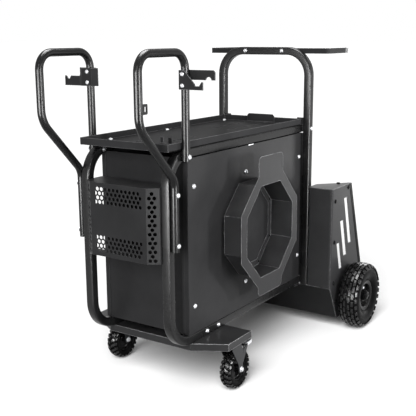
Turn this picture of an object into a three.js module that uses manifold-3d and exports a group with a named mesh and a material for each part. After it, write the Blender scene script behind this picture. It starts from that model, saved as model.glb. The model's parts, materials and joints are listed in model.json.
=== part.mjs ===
// Welding cart: tube frame, cabinet, top tray, bottle rack, two fixed wheels and two swivel castors.
// Front faces -Y, right is +X, up is +Z, millimetres, origin on the floor under the middle of the cart.
import * as THREE from "three";
import { mergeVertices } from "three/addons/utils/BufferGeometryUtils.js";
import Module from "manifold-3d";

const wasm = await Module();
wasm.setup();

// Clearances between neighbours
const fit = 0.3;
const runningFit = 0.5;
const seam = 2;

// Sheet stock
const thinSheet = 1.5;
const rackSheet = 2.5;
const heavySheet = 3;

// Swivel castors, from the floor up to the plate that they hang from
const castorRadius = 71;
const castorTyreWidth = 40;
const castorRimRadius = 42;
const castorRimWidth = 30;
const castorWeb = 8;
const castorTrail = 27;
const castorTreadDepth = 4.5;
const castorAxleRadius = 5;
const castorAxleHead = 9;
const castorAxleHeadHeight = 7;
const forkClearance = 3.5;
const forkSheet = 3;
const forkFront = 28;
const forkCheek = 25;
const forkWaist = 15;
const forkBoss = 14;
const crownClearance = 17.4;
const crownSheet = 4;
const raceHeight = 15;
const raceRadius = 26;
const cupHeight = 7;
const cupRadius = 24;
const mountSheet = 3.5;
const mountWidth = 56;
const mountLength = 96;
const mountCorner = 6;
const kingpinRadius = 6;
const kingpinHead = 11;
const kingpinHeadHeight = 3.5;
const pedalPinRadius = 3;
const pedalPinSetback = 36;
const pedalPinDrop = 12.4;
const pedalEar = 9;
const pedalWidth = 45;
const pedalReach = 46;
const pedalLift = 4;
const pedalShoeSetback = 10;
const pedalShoeLength = 8;
const pedalShoeDrop = 14;

// Square tube frame
const tube = 30;
const tubeWall = 2;
const tubeCorner = 3;
const frameWidth = 351;
const frameHeight = 646;
const frameBend = 97;
const railLength = 905;

// Castor plate under the front of the frame
const plateFront = 114;
const plateDepth = 208;
const plateHalfWidth = 280;
const plateFrontHalf = 172;
const plateChamfer = 63;
const plateDrop = 25;
const castorInset = 33;
const castorPlace = 125.5;
const plateBoltPlaces = [207, 276];

// Rear hoop and the bottle guard behind it
const hoopSetback = 880;
const hoopHeight = 1135;
const hoopBend = 93;
const hoopFootLift = 7;
const postGap = 4;
const postPad = 22;
const postFlange = 14;
const guardHalfWidth = 267;
const guardArm = 160;
const guardTip = 65;
const guardTipTurn = 15;
const guardHeight = 21;
const guardThickness = 4;
const guardBend = 12;
const guardBoltSpread = 82;

// Cabinet between the side frames
const cabinetSetback = 103;
const cabinetReturn = 18;
const endPanelFlange = 40;
const panelScrewFront = 33;
const panelScrewMiddle = 354;
const panelScrewRear = 17;
const panelScrewDrop = 92;

// Tray on the upper rails
const trayFront = 2;
const trayRear = 874;
const trayLip = 23.2;
const traySheet = 2.5;
const traySlotWidth = 8;
const traySlots = [
  { side: -52, start: 105, length: 62 },
  { side: 38, start: 214, length: 130 },
  { side: -48, start: 579, length: 208 },
  { side: 32, start: 565, length: 240 },
];
const trayBoltPlaces = [133, 452, 845];
const trayClip = { side: 58, start: 150, foot: 46, footDepth: 24, post: 14, height: 20 };
const trayStopWidth = 124;
const trayStopHeight = 32;
const trayStopFoot = 28;
const trayStopClip = 8;
const trayStopSetback = 865;

// Guard with hexagonal holes in front of the frame
const grilleRise = 296;
const grilleHeight = 240;
const grilleFront = 30;
const grilleEdge = 6;
const grilleHalfWidth = 112;
const grilleLid = 65;
const hexPitch = 16.3;
const hexHole = 11.6;
const hexRowsPerBlock = 4;
const hexBlockInset = 20;
const hexSideInset = 14.5;
const wingTopInset = 17;
const wingBottomInset = 11;
const wingHolePlace = 0.44;

// Push handles
const handleTube = 25.4;
const handleWall = 2;
const handleRise = 293;
const handleRearLeg = 77;
const handleReach = 150;
const handleElbowRise = 87;
const handleKneeDrop = 86;
const handleBend = 52;
const handleElbowBend = 90;
const handleKneeBend = 60;
const handleLegEnd = 14;
const handleFootEnd = 21;
const handleBoltUpperDrop = 20;
const handleBoltLowerRise = 62;
const handleTab = { rise: 139, reach: 14, height: 28, slotWidth: 5, slotHeight: 18 };

// Torch holders clamped on the rear legs of the handles
const holderRise = 183;
const holderHeight = 58;
const holderBoltInset = 12;
const holderFlat = 20;
const hookArm = 87;
const hookArmHeight = 24;
const hookProng = 6;
const hookNotch = 24;
const hookNotchDepth = 12;
const clampFlat = 26;
const clampArm = 111;
const clampArmHeight = 30;
const clampNotch = 10;
const clampNotchInset = 23;
const leftClampArm = 70;
const leftHookArm = 102;
const leftHookHeight = 32;
const leftHookProng = 7;
const leftHookNotch = 20;
const leftHookNotchDepth = 10;
const leftHookStep = { start: 24, end: 37, depth: 5 };
const leftHookWing = { start: 17, reach: 20, depth: 10 };

// Cable drum on the right side panel
const drumSize = 322;
const drumDepth = 90;
const drumRim = 37;
const drumFoot = 22;
const drumSetback = 476;
const drumRise = 325;
const drumTopFlap = 65;
const drumBottomFlap = 30;
const drumFlapWidth = 170;
const drumFlapCorner = 18;

// Bottle rack
const rackHalfWidth = 314;
const rackRise = 400;
const rackBottom = 48;
const rackTopDepth = 181;
const rackTopPost = 75;
const rackRear = 1245;
const rackRearFlange = 18;
const rackBend = 8;
const rackBaseLip = 25;
const toeDrop = 5;
const toeFoot = 955;
const toeBoltSpread = 147;
const toeBoltDrop = 12;
const rackTopBolt = { inset: 35, setback: 131 };
const rackSlotLean = 0.275;
const rackSlots = [
  { start: 113.5, width: 28, drop: 52.5, height: 197 },
  { start: 82, width: 29, drop: 141, height: 151.5 },
  { start: 53.5, width: 25, drop: 228, height: 111 },
];
const rackBolts = [
  { setback: 30, drop: 51 },
  { setback: 30, drop: 217 },
  { setback: 33, drop: 386 },
  { setback: 55, drop: 470 },
  { setback: 151, drop: 14 },
];

// Rear wheels, each on a stub axle in its rack side
const axleSetback = 1048;
const axleRadius = 10;
const axleCollar = 16;
const axleFlange = 24;
const axleFlangeSheet = 5;
const wheelRadius = 133;
const wheelWidth = 80;
const wheelGap = 16;
const wheelRimRadius = 51;
const wheelRimWidth = 50;
const wheelRimFlange = 12;
const wheelRimSheet = 4;
const wheelHubLength = 60;
const wheelHubRadius = 21;
const wheelBoltCircle = 33;
const wheelTreadDepth = 6;
const wheelRibHalf = 9;
const wheelRibGroove = 4;
const hubCapRadius = 18;
const hubCapInset = 1;

// Fasteners
const boltRadius = 4;
const boltHeadRadius = 7.5;
const boltHeadHeight = 5;
const nutRadius = 7.5;
const nutHeight = 9;
const smallBoltRadius = 3;
const smallHeadRadius = 6.5;
const smallHeadHeight = 4;

// Facets on round shapes
const roundFacets = 12;
const boltFacets = 6;
const boreFacets = 4;
const bendSteps = 5;
const rimFacets = 14;
const wheelFacets = 27;
const castorFacets = 24;

// Heights of the castor stack and of the frame on it
const crownBottom = 2 * castorRadius + crownClearance;
const crownTop = crownBottom + crownSheet;
const raceTop = crownTop + raceHeight;
const mountTop = raceTop + runningFit + cupHeight + mountSheet;
const plateTop = mountTop + fit + heavySheet;
const frameBottom = plateTop + fit;
const frameTop = frameBottom + frameHeight;
const lowerRail = frameBottom + tube / 2;
const upperRail = frameTop - tube / 2;

// Places worked out from the sizes above
const halfFrame = frameWidth / 2;
const tubeMiddle = halfFrame - tube / 2;
const frameInside = halfFrame - tube;
const postMiddle = halfFrame + postGap + tube / 2;
const postOutside = postMiddle + tube / 2;
const hoopMiddle = hoopSetback + tube / 2;
const hoopRear = hoopSetback + tube;
const hoopBar = hoopHeight - tube / 2;
const cabinetBottom = frameBottom + tube + seam;
const cabinetTop = frameTop - tube - seam;
const cabinetRear = hoopSetback - seam;
const cabinetInside = halfFrame - thinSheet - fit;
const trayBottom = frameTop + fit;
const trayFloor = trayBottom + traySheet;
const grilleBottom = frameBottom + grilleRise;
const grilleTop = grilleBottom + grilleHeight;
const rowPitch = hexPitch * Math.cos(Math.PI / 6);
const handleRadius = handleTube / 2;
const handlePlane = halfFrame + fit + handleRadius;
const handleTop = frameTop + handleRise;
const handleBoltUpper = grilleTop - handleBoltUpperDrop;
const handleBoltLower = grilleBottom + handleBoltLowerRise;
const railBendMiddle = tube / 2 + frameBend;
const railBendReach = Math.min(frameBend, Math.max(0, railBendMiddle - handleRearLeg));
const handleRearBolt = upperRail - frameBend + Math.sqrt(frameBend ** 2 - railBendReach ** 2);
const holderBottom = frameTop + holderRise;
const holderTop = holderBottom + holderHeight;
const holderBolts = [holderBottom + holderBoltInset, holderTop - holderBoltInset];
const holderFront = handleRearLeg - handleRadius - fit;
const holderRear = handleRearLeg + handleRadius + fit;
const holderInner = handlePlane - handleRadius;
const rackTop = frameBottom + rackRise;
const toeTop = frameBottom - toeDrop;
const toeSlope = (toeFoot - hoopSetback) / (frameBottom - rackBottom);
const toeStart = toeFoot - toeSlope * (toeTop - rackBottom);
const castorSpread = plateHalfWidth - castorInset;
const castorSetback = plateFront + castorPlace;
const forkInside = castorTyreWidth / 2 + forkClearance;
const forkOutside = forkInside + forkSheet;
const pedalPin = { y: castorTrail + pedalPinSetback, z: crownBottom - pedalPinDrop };
const wheelSpread = rackHalfWidth + wheelGap + wheelWidth / 2;
const cartFront = -handleReach - handleRadius;
const cartMiddle = (cartFront + rackRear) / 2;

// Materials
const powderCoat = new THREE.MeshStandardMaterial({ color: 0x1b1c1e, roughness: 0.55, metalness: 0.35 });
const zincPlate = new THREE.MeshStandardMaterial({ color: 0xc4c8cc, roughness: 0.3, metalness: 1 });
const rubber = new THREE.MeshStandardMaterial({ color: 0x161616, roughness: 0.85, metalness: 0 });
const rimPaint = new THREE.MeshStandardMaterial({ color: 0x141416, roughness: 0.4, metalness: 0.5 });
const castorSteel = new THREE.MeshStandardMaterial({ color: 0x55585c, roughness: 0.4, metalness: 0.85 });

// Closed triangle mesh to solid, turned outwards if it came inside out
function toSolid(geometry) {
  const bare = geometry.clone();
  bare.deleteAttribute("normal");
  bare.deleteAttribute("uv");
  const merged = mergeVertices(bare, 1e-4);
  const vertProperties = merged.attributes.position.array;
  const triangles = [];
  for (let i = 0; i < merged.index.count; i += 3) {
    const [a, b, c] = merged.index.array.slice(i, i + 3);
    if (a !== b && b !== c && c !== a) triangles.push([a, b, c]);
  }
  const build = (list) => {
    const triVerts = new Uint32Array(list.flat());
    return new wasm.Manifold(new wasm.Mesh({ numProp: 3, vertProperties, triVerts }));
  };
  const solid = build(triangles);
  if (solid.volume() > 0) return solid;
  return build(triangles.map(([a, b, c]) => [a, c, b]));
}

// Solid back to geometry with crisp facets
function toGeometry(solid) {
  const mesh = solid.getMesh();
  const geometry = new THREE.BufferGeometry();
  geometry.setAttribute("position", new THREE.BufferAttribute(mesh.vertProperties, mesh.numProp));
  geometry.setIndex(new THREE.BufferAttribute(mesh.triVerts, 1));
  const faceted = geometry.toNonIndexed();
  faceted.computeVertexNormals();
  return faceted;
}

function join(...solids) {
  return solids.reduce((whole, piece) => whole.add(piece));
}

function cut(solid, ...tools) {
  return tools.reduce((rest, tool) => rest.subtract(tool), solid);
}

function moved(solid, matrix) {
  return toSolid(toGeometry(solid).applyMatrix4(matrix));
}

function mirrored(solid) {
  return moved(solid, new THREE.Matrix4().makeScale(-1, 1, 1));
}

function span(a, b) {
  return [Math.min(a, b), Math.max(a, b)];
}

function around(middle, width) {
  return [middle - width / 2, middle + width / 2];
}

function rectangle(u, v) {
  return [
    [u[0], v[0]],
    [u[1], v[0]],
    [u[1], v[1]],
    [u[0], v[1]],
  ];
}

function regular(facets, radius, start, centre = [0, 0]) {
  return Array.from({ length: facets }, (_, i) => {
    const angle = start + (2 * Math.PI * i) / facets;
    return [centre[0] + radius * Math.cos(angle), centre[1] + radius * Math.sin(angle)];
  });
}

// Even polygon with a level flat, measured across its flats
function acrossFlats(facets, across, centre) {
  const half = Math.PI / facets;
  return regular(facets, across / 2 / Math.cos(half), Math.PI / 2 + half, centre);
}

// One corner as an arc between its tangent points, with the heading at each step
function arcAt(before, corner, after, radius, steps) {
  const here = new THREE.Vector2(...corner);
  const heading = here.clone().sub(new THREE.Vector2(...before)).normalize();
  const leaving = new THREE.Vector2(...after).sub(here).normalize();
  const turn = Math.atan2(heading.cross(leaving), heading.dot(leaving));
  const count = steps ?? Math.max(2, Math.round((bendSteps * Math.abs(turn)) / (Math.PI / 2)));
  const start = here.clone().addScaledVector(heading, -radius * Math.tan(Math.abs(turn) / 2));
  const toCentre = new THREE.Vector2(-heading.y, heading.x).multiplyScalar(radius * Math.sign(turn));
  const centre = start.clone().add(toCentre);
  return Array.from({ length: count + 1 }, (_, i) => {
    const angle = (turn * i) / count;
    const point = start.clone().rotateAround(centre, angle);
    return { point: [point.x, point.y], heading: heading.clone().rotateAround(new THREE.Vector2(), angle) };
  });
}

function roundedClosed(points, radius, steps) {
  const count = points.length;
  return points.flatMap((corner, i) => {
    const arc = arcAt(points[(i + count - 1) % count], corner, points[(i + 1) % count], radius, steps);
    return arc.map(({ point }) => point);
  });
}

function roundedOpen(points, radius, steps) {
  return points.flatMap((corner, i) => {
    if (i === 0 || i === points.length - 1) return [corner];
    return arcAt(points[i - 1], corner, points[i + 1], radius, steps).map(({ point }) => point);
  });
}

// Line moved to its left by a distance, with mitred corners
function shifted(points, distance, loop = false) {
  const leftOf = (a, b) => {
    const along = new THREE.Vector2(b[0] - a[0], b[1] - a[1]).normalize();
    return new THREE.Vector2(-along.y, along.x);
  };
  return points.map((point, i) => {
    const before = loop ? points.at(i - 1) : points[i - 1];
    const after = loop ? points[(i + 1) % points.length] : points[i + 1];
    const sides = [];
    if (before) sides.push(leftOf(before, point));
    if (after) sides.push(leftOf(point, after));
    const mitre = sides[0].clone().add(sides.at(-1)).normalize();
    const length = distance / mitre.dot(sides[0]);
    return [point[0] + mitre.x * length, point[1] + mitre.y * length];
  });
}

// Folded sheet seen edge on: a line and its copy one thickness to the left
function strip(points, thickness) {
  return [...points, ...shifted(points, thickness).reverse()];
}

function outline(points, openings = []) {
  const shape = new THREE.Shape(points.map(([u, v]) => new THREE.Vector2(u, v)));
  for (const opening of openings) {
    shape.holes.push(new THREE.Path(opening.map(([u, v]) => new THREE.Vector2(u, v))));
  }
  return shape;
}

function extrude(points, depth, openings) {
  return new THREE.ExtrudeGeometry(outline(points, openings), { depth, bevelEnabled: false });
}

const axisX = new THREE.Vector3(1, 0, 0);
const axisY = new THREE.Vector3(0, 1, 0);
const axisZ = new THREE.Vector3(0, 0, 1);

// Outline in Y and Z pushed along X
function alongX(points, from, to, openings) {
  const place = new THREE.Matrix4().makeBasis(axisY, axisZ, axisX).setPosition(from, 0, 0);
  return toSolid(extrude(points, to - from, openings).applyMatrix4(place));
}

// Outline in X and Z pushed along Y
function alongY(points, from, to, openings) {
  const place = new THREE.Matrix4().makeBasis(axisX, axisZ, axisY.clone().negate()).setPosition(0, to, 0);
  return toSolid(extrude(points, to - from, openings).applyMatrix4(place));
}

// Outline in X and Y pushed along Z
function alongZ(points, from, to, openings) {
  return toSolid(extrude(points, to - from, openings).translate(0, 0, from));
}

function block(x, y, z) {
  return alongZ(rectangle(x, y), z[0], z[1]);
}

function rodX(radius, from, to, y, z, facets = roundFacets) {
  return alongX(regular(facets, radius, 0, [y, z]), from, to);
}

function rodZ(radius, from, to, x, y) {
  return alongZ(regular(roundFacets, radius, 0, [x, y]), from, to);
}

// Square holes for coach bolts, long enough to pass through a tube
function drillX(radius, x, y, z) {
  return alongX(acrossFlats(4, 2 * (radius + fit), [y, z]), ...around(x, 3 * tube));
}

function drillY(radius, x, y, z) {
  return alongY(acrossFlats(4, 2 * (radius + fit), [x, z]), ...around(y, 3 * tube));
}

// Profile of pairs (place along X, radius) spun about the X axis
function spunX(profile, facets, reshape) {
  const points = profile.map(([along, radius]) => new THREE.Vector2(radius, along));
  const lathe = new THREE.LatheGeometry(points, facets);
  if (reshape) reshape(lathe.attributes.position, points.length);
  return toSolid(lathe.rotateZ(-Math.PI / 2));
}

// Half a profile and its mirror image as one closed ring
function bothSides(half) {
  const other = half.map(([along, radius]) => [-along, radius]).reverse();
  return [...half, ...other, half[0]];
}

// Low screw head standing on a face
function screwHead(point, normal) {
  const height = smallHeadHeight + fit;
  const head = new THREE.CylinderGeometry(smallHeadRadius * 0.7, smallHeadRadius, height, boltFacets);
  head.translate(0, height / 2 - fit, 0);
  head.applyQuaternion(new THREE.Quaternion().setFromUnitVectors(axisY, normal));
  return toSolid(head.translate(...point));
}

// Coach bolt along X with its head at the origin and a nut at the far end of its grip
function coachBolt(radius, headRadius, headHeight, grip) {
  const nut = nutRadius * (radius / boltRadius);
  const profile = [
    [-grip - nutHeight, 0],
    [-grip - nutHeight, nut * 0.85],
    [-grip, nut],
    [-grip, radius],
    [0, radius],
    [0, headRadius],
    [headHeight / 2, headRadius * 0.85],
    [headHeight, 0],
  ];
  return spunX(profile, boltFacets);
}

// Curve through given stations, so that straight stretches of a tube need no steps
class TubePath extends THREE.Curve {
  constructor(stations) {
    super();
    this.stations = stations;
  }
  station(part) {
    return this.stations[Math.round(part * (this.stations.length - 1))];
  }
  getPoint(part, target = new THREE.Vector3()) {
    return target.copy(this.station(part).point);
  }
  getPointAt(part, target) {
    return this.getPoint(part, target);
  }
  getTangentAt(part, target = new THREE.Vector3()) {
    return target.copy(this.station(part).tangent);
  }
}

// Tube bent at the corners of a flat line, which toSpace lifts into the cart
function bentTube(section, corners, radii, toSpace) {
  const stations = [];
  const add = ([u, v], heading) => {
    const point = toSpace(u, v);
    const tangent = toSpace(u + heading.x, v + heading.y).sub(point);
    stations.push({ point, tangent });
  };
  const heading = (a, b) => new THREE.Vector2(b[0] - a[0], b[1] - a[1]).normalize();
  add(corners[0], heading(corners[0], corners[1]));
  for (let i = 1; i < corners.length - 1; i++) {
    const bend = arcAt(corners[i - 1], corners[i], corners[i + 1], radii[i - 1]);
    bend.forEach((step) => add(step.point, step.heading));
  }
  add(corners.at(-1), heading(corners.at(-2), corners.at(-1)));
  const extrudePath = new TubePath(stations);
  return toSolid(new THREE.ExtrudeGeometry(section, { steps: stations.length - 1, extrudePath }));
}

function squareTube() {
  const outside = rectangle(around(0, tube), around(0, tube));
  const inside = rectangle(around(0, tube - 2 * tubeWall), around(0, tube - 2 * tubeWall));
  return outline(roundedClosed(outside, tubeCorner, 1), [roundedClosed(inside, tubeCorner - tubeWall, 1)]);
}

function roundTube() {
  const inside = regular(boreFacets, handleRadius - handleWall, 0);
  return outline(regular(roundFacets, handleRadius, 0), [inside]);
}

// Side frame: one tube bent into a C, drilled for its bolts
function sideFrame() {
  const corners = [
    [railLength, lowerRail],
    [tube / 2, lowerRail],
    [tube / 2, upperRail],
    [railLength, upperRail],
  ];
  const toSpace = (y, z) => new THREE.Vector3(tubeMiddle, y, z);
  const frame = bentTube(squareTube(), corners, [frameBend, frameBend], toSpace);
  const heads = plateBoltPlaces.map((y) => screwHead([halfFrame, y, lowerRail], axisX));
  return cut(
    join(frame, ...heads),
    drillX(boltRadius, tubeMiddle, tube / 2, handleBoltUpper),
    drillX(boltRadius, tubeMiddle, tube / 2, handleBoltLower),
    drillX(boltRadius, tubeMiddle, handleRearLeg, handleRearBolt),
    drillX(boltRadius, tubeMiddle, hoopMiddle, lowerRail),
    drillX(boltRadius, tubeMiddle, hoopMiddle, upperRail),
  );
}

// Rear hoop with welded pads that meet the rails
function rearHoop() {
  const corners = [
    [-postMiddle, frameBottom + hoopFootLift],
    [-postMiddle, hoopBar],
    [postMiddle, hoopBar],
    [postMiddle, frameBottom + hoopFootLift],
  ];
  const toSpace = (x, z) => new THREE.Vector3(x, hoopMiddle, z);
  let hoop = bentTube(squareTube(), corners, [hoopBend, hoopBend], toSpace);
  for (const side of [-1, 1]) {
    const reach = span(side * (halfFrame + fit), side * (postMiddle - tube / 2 + tubeWall / 2));
    for (const level of [lowerRail, upperRail]) {
      const foot = Math.max(level - postPad / 2, frameBottom + hoopFootLift + fit);
      hoop = join(hoop, block(reach, around(hoopMiddle, postPad), [foot, level + postPad / 2]));
    }
    const flange = span(side * (halfFrame - postFlange), reach[side > 0 ? 1 : 0]);
    const flangeFront = hoopSetback + 2 * seam;
    hoop = join(hoop, block(flange, [flangeFront, flangeFront + heavySheet], [cabinetBottom, cabinetTop]));
    hoop = cut(
      hoop,
      drillX(boltRadius, side * postMiddle, hoopMiddle, lowerRail),
      drillX(boltRadius, side * postMiddle, hoopMiddle, upperRail),
      drillY(boltRadius, side * guardBoltSpread, hoopMiddle, hoopBar),
    );
  }
  return hoop;
}

// Bottle guard: flat bar bent round the back of the hoop
function bottleGuard() {
  const front = hoopRear + fit;
  const turn = THREE.MathUtils.degToRad(guardTipTurn);
  const tip = [guardHalfWidth - guardTip * Math.sin(turn), front + guardArm + guardTip * Math.cos(turn)];
  const line = [
    [-tip[0], tip[1]],
    [-guardHalfWidth, front + guardArm],
    [-guardHalfWidth, front],
    [guardHalfWidth, front],
    [guardHalfWidth, front + guardArm],
    tip,
  ];
  const bar = strip(roundedOpen(line, guardBend), guardThickness);
  return cut(
    alongZ(bar, ...around(hoopBar, guardHeight)),
    drillY(boltRadius, -guardBoltSpread, hoopRear, hoopBar),
    drillY(boltRadius, guardBoltSpread, hoopRear, hoopBar),
  );
}

// Castor plate: folded sheet with a skirt and an upright tab inside each rail
function castorPlate() {
  const edge = [
    [-plateFrontHalf, plateFront],
    [plateFrontHalf, plateFront],
    [plateHalfWidth, plateFront + plateChamfer],
    [plateHalfWidth, plateFront + plateDepth],
    [-plateHalfWidth, plateFront + plateDepth],
    [-plateHalfWidth, plateFront + plateChamfer],
  ];
  const inside = shifted(edge, heavySheet, true);
  const shell = cut(
    alongZ(edge, plateTop - plateDrop, plateTop),
    alongZ(inside, plateTop - plateDrop - seam, plateTop - heavySheet),
  );
  const length = [plateBoltPlaces[0] - tube / 2, plateBoltPlaces.at(-1) + tube / 2];
  const tabs = [-1, 1].map((side) => {
    const thickness = span(side * (frameInside - fit - heavySheet), side * (frameInside - fit));
    return block(thickness, length, [plateTop - heavySheet, frameBottom + tube - seam]);
  });
  return join(shell, ...tabs);
}

// Tray: shallow sheet box with long slots, its bolt heads and a small clip near the front
function trayBox() {
  const half = halfFrame;
  const top = trayBottom + trayLip;
  const inner = half - traySheet;
  const slots = traySlots.map(({ side, start, length }) => {
    const edge = rectangle(around(side, traySlotWidth), [start, start + length]);
    return alongZ(roundedClosed(edge, traySlotWidth / 3, 1), trayBottom - seam, trayFloor + seam);
  });
  const heads = [-tubeMiddle, tubeMiddle].flatMap((x) =>
    trayBoltPlaces.map((y) => screwHead([x, y, trayFloor], axisZ)),
  );
  const { side, start, foot, footDepth, post, height } = trayClip;
  const floor = trayFloor - traySheet / 2;
  const clipFoot = block(around(side, foot), [start, start + footDepth], [floor, trayFloor + thinSheet]);
  const clipPosts = [side - foot / 2, side + foot / 2 - post].map((x) =>
    block([x, x + post], [start, start + thinSheet], [floor, trayFloor + height]),
  );
  return join(
    cut(
      block([-half, half], [trayFront, trayRear], [trayBottom, top]),
      block([-inner, inner], [trayFront + traySheet, trayRear - traySheet], [trayFloor, top + seam]),
      ...slots,
    ),
    ...heads,
    clipFoot,
    ...clipPosts,
  );
}

// Rear stop of the tray: angle with clipped upper corners
function trayStop() {
  const floor = trayFloor + fit;
  const top = floor + trayStopHeight;
  const half = trayStopWidth / 2;
  const profile = [
    [trayStopSetback - trayStopFoot, floor],
    [trayStopSetback, floor],
    [trayStopSetback, top],
  ];
  const face = [
    [-half, floor - seam],
    [half, floor - seam],
    [half, top - trayStopClip],
    [half - trayStopClip, top],
    [trayStopClip - half, top],
    [-half, top - trayStopClip],
  ];
  const angle = alongX(strip(profile, thinSheet), -half, half);
  return angle.intersect(alongY(face, ...around(trayStopSetback, 3 * trayStopFoot)));
}

// Side panel: sheet with returns at both ends and its screw heads
function sidePanel() {
  const fold = [
    [halfFrame - cabinetReturn, cabinetSetback],
    [halfFrame, cabinetSetback],
    [halfFrame, cabinetRear],
    [halfFrame - cabinetReturn, cabinetRear],
  ];
  const sheet = alongZ(strip(roundedOpen(fold, thinSheet + fit, 1), thinSheet), cabinetBottom, cabinetTop);
  const along = [
    cabinetSetback + panelScrewFront,
    cabinetSetback + panelScrewMiddle,
    cabinetRear - panelScrewRear,
  ];
  const levels = [cabinetBottom + panelScrewDrop, cabinetTop - panelScrewDrop];
  const heads = along.flatMap((y) => levels.map((z) => screwHead([halfFrame, y, z], axisX)));
  return join(sheet, ...heads);
}

// Cabinet end panel, standing inside the returns of the side panels
function endPanel() {
  const front = cabinetSetback + thinSheet + fit;
  const fold = [
    [-cabinetInside, front + endPanelFlange],
    [-cabinetInside, front],
    [cabinetInside, front],
    [cabinetInside, front + endPanelFlange],
  ];
  return alongZ(strip(roundedOpen(fold, thinSheet + fit, 1), thinSheet), cabinetBottom + fit, cabinetTop);
}

function cabinetFloor() {
  const front = Math.max(cabinetSetback + thinSheet + fit, railBendMiddle);
  const rear = cabinetRear - thinSheet - fit;
  return block([-cabinetInside, cabinetInside], [front, rear], [frameBottom + tube + fit, cabinetBottom]);
}

// Hexagonal holes of the front guard: two blocks of staggered rows on its face
function faceHoles() {
  const widest = Math.floor((2 * (grilleHalfWidth - hexSideInset)) / hexPitch) + 1;
  const blocks = [
    { top: grilleTop - hexBlockInset, first: widest - 1, second: widest },
    {
      top: grilleBottom + hexBlockInset + rowPitch * (hexRowsPerBlock - 1),
      first: widest,
      second: widest - 1,
    },
  ];
  const holes = [];
  for (const { top, first, second } of blocks) {
    for (let row = 0; row < hexRowsPerBlock; row++) {
      const count = row % 2 === 0 ? first : second;
      for (let i = 0; i < count; i++) {
        holes.push([(i - (count - 1) / 2) * hexPitch, top - row * rowPitch]);
      }
    }
  }
  return holes;
}

// One column of single and paired holes down each wing
function wingHoles() {
  const rows = Math.floor((grilleHeight - wingTopInset - wingBottomInset) / rowPitch) + 1;
  const holes = [];
  for (let row = 0; row < rows; row++) {
    const level = grilleTop - wingTopInset - row * rowPitch;
    const sides = row % 2 === 0 ? [0] : around(0, hexPitch);
    holes.push(...sides.map((u) => [u, level]));
  }
  return holes;
}

function hexagon([u, v]) {
  return regular(6, hexHole / 2 / Math.cos(Math.PI / 6), Math.PI / 2, [u, v]);
}

// Front guard: folded sheet with holes on its face and wings, a lid and a sill
function frontGuard() {
  const edge = frameInside - fit;
  const face = [
    [-edge, -grilleEdge],
    [-grilleHalfWidth, -grilleFront],
    [grilleHalfWidth, -grilleFront],
    [edge, -grilleEdge],
  ];
  const wall = [[-edge, tube], ...face, [edge, tube]];
  const lid = [...face, [edge, grilleLid], [-edge, grilleLid]];
  const sill = [...face, [edge, tube], [-edge, tube]];
  const guard = join(
    alongZ(strip(wall, thinSheet), grilleBottom, grilleTop),
    alongZ(lid, grilleTop - thinSheet, grilleTop),
    alongZ(sill, grilleBottom, grilleBottom + thinSheet),
  );
  const through = around(0, 4 * thinSheet);
  const onFace = new THREE.Matrix4().makeTranslation(0, -grilleFront, 0);
  const cutters = faceHoles().map((hole) => moved(alongY(hexagon(hole), ...through), onFace));
  const wing = { reach: edge - grilleHalfWidth, depth: grilleFront - grilleEdge };
  const slope = Math.atan2(wing.depth, wing.reach);
  const holesOut = grilleHalfWidth + wingHolePlace * wing.reach;
  const holesBack = wingHolePlace * wing.depth - grilleFront;
  for (const side of [-1, 1]) {
    const onWing = new THREE.Matrix4().makeRotationZ(side * slope);
    onWing.setPosition(side * holesOut, holesBack, 0);
    cutters.push(...wingHoles().map((hole) => moved(alongY(hexagon(hole), ...through), onWing)));
    cutters.push(drillX(boltRadius, side * edge, tube / 2, handleBoltUpper));
    cutters.push(drillX(boltRadius, side * edge, tube / 2, handleBoltLower));
  }
  return cut(guard, ...cutters);
}

// Push handle: one bent tube, drilled for its bolts
function pushHandle() {
  const corners = [
    [handleRearLeg, handleRearBolt - handleLegEnd],
    [handleRearLeg, handleTop],
    [-handleReach, handleTop],
    [-handleReach, frameTop + handleElbowRise],
    [tube / 2, frameTop - handleKneeDrop],
    [tube / 2, handleBoltLower - handleFootEnd],
  ];
  const radii = [handleBend, handleBend, handleElbowBend, handleKneeBend];
  const toSpace = (y, z) => new THREE.Vector3(handlePlane, y, z);
  return cut(
    bentTube(roundTube(), corners, radii, toSpace),
    drillX(boltRadius, handlePlane, tube / 2, handleBoltUpper),
    drillX(boltRadius, handlePlane, tube / 2, handleBoltLower),
    drillX(boltRadius, handlePlane, handleRearLeg, handleRearBolt),
    ...holderBolts.map((z) => drillY(smallBoltRadius, handlePlane, handleRearLeg, z)),
  );
}

// Slotted tab welded to the front leg of the right handle
function slottedTab() {
  const { rise, reach, height, slotWidth, slotHeight } = handleTab;
  const root = -handleReach + handleRadius - handleWall / 2;
  const level = frameTop + rise;
  const plate = rectangle([root, root + reach], around(level, height));
  const slot = rectangle(around(root + reach / 2, slotWidth), around(level, slotHeight));
  return alongX(plate, ...around(handlePlane, heavySheet), [slot]);
}

// Flat clamp plate of a torch holder with its two bolt holes
function holderPlate(face, front) {
  const holes = holderBolts.map((z) => drillY(smallBoltRadius, handlePlane, front, z));
  return cut(alongY(face, front, front + heavySheet), ...holes);
}

function holderRightFront() {
  const end = holderInner + hookArm;
  const notchEnd = end - hookProng;
  const notchFloor = holderBottom + hookNotchDepth;
  const face = [
    [holderInner, holderBottom],
    [end, holderBottom],
    [end, holderBottom + hookArmHeight],
    [notchEnd, holderBottom + hookArmHeight],
    [notchEnd - hookNotch / 3, notchFloor],
    [notchEnd - hookNotch + seam, notchFloor],
    [notchEnd - hookNotch, notchFloor + hookProng],
    [holderInner + holderFlat, holderTop],
    [holderInner, holderTop],
  ];
  return holderPlate(face, holderFront - heavySheet);
}

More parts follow.
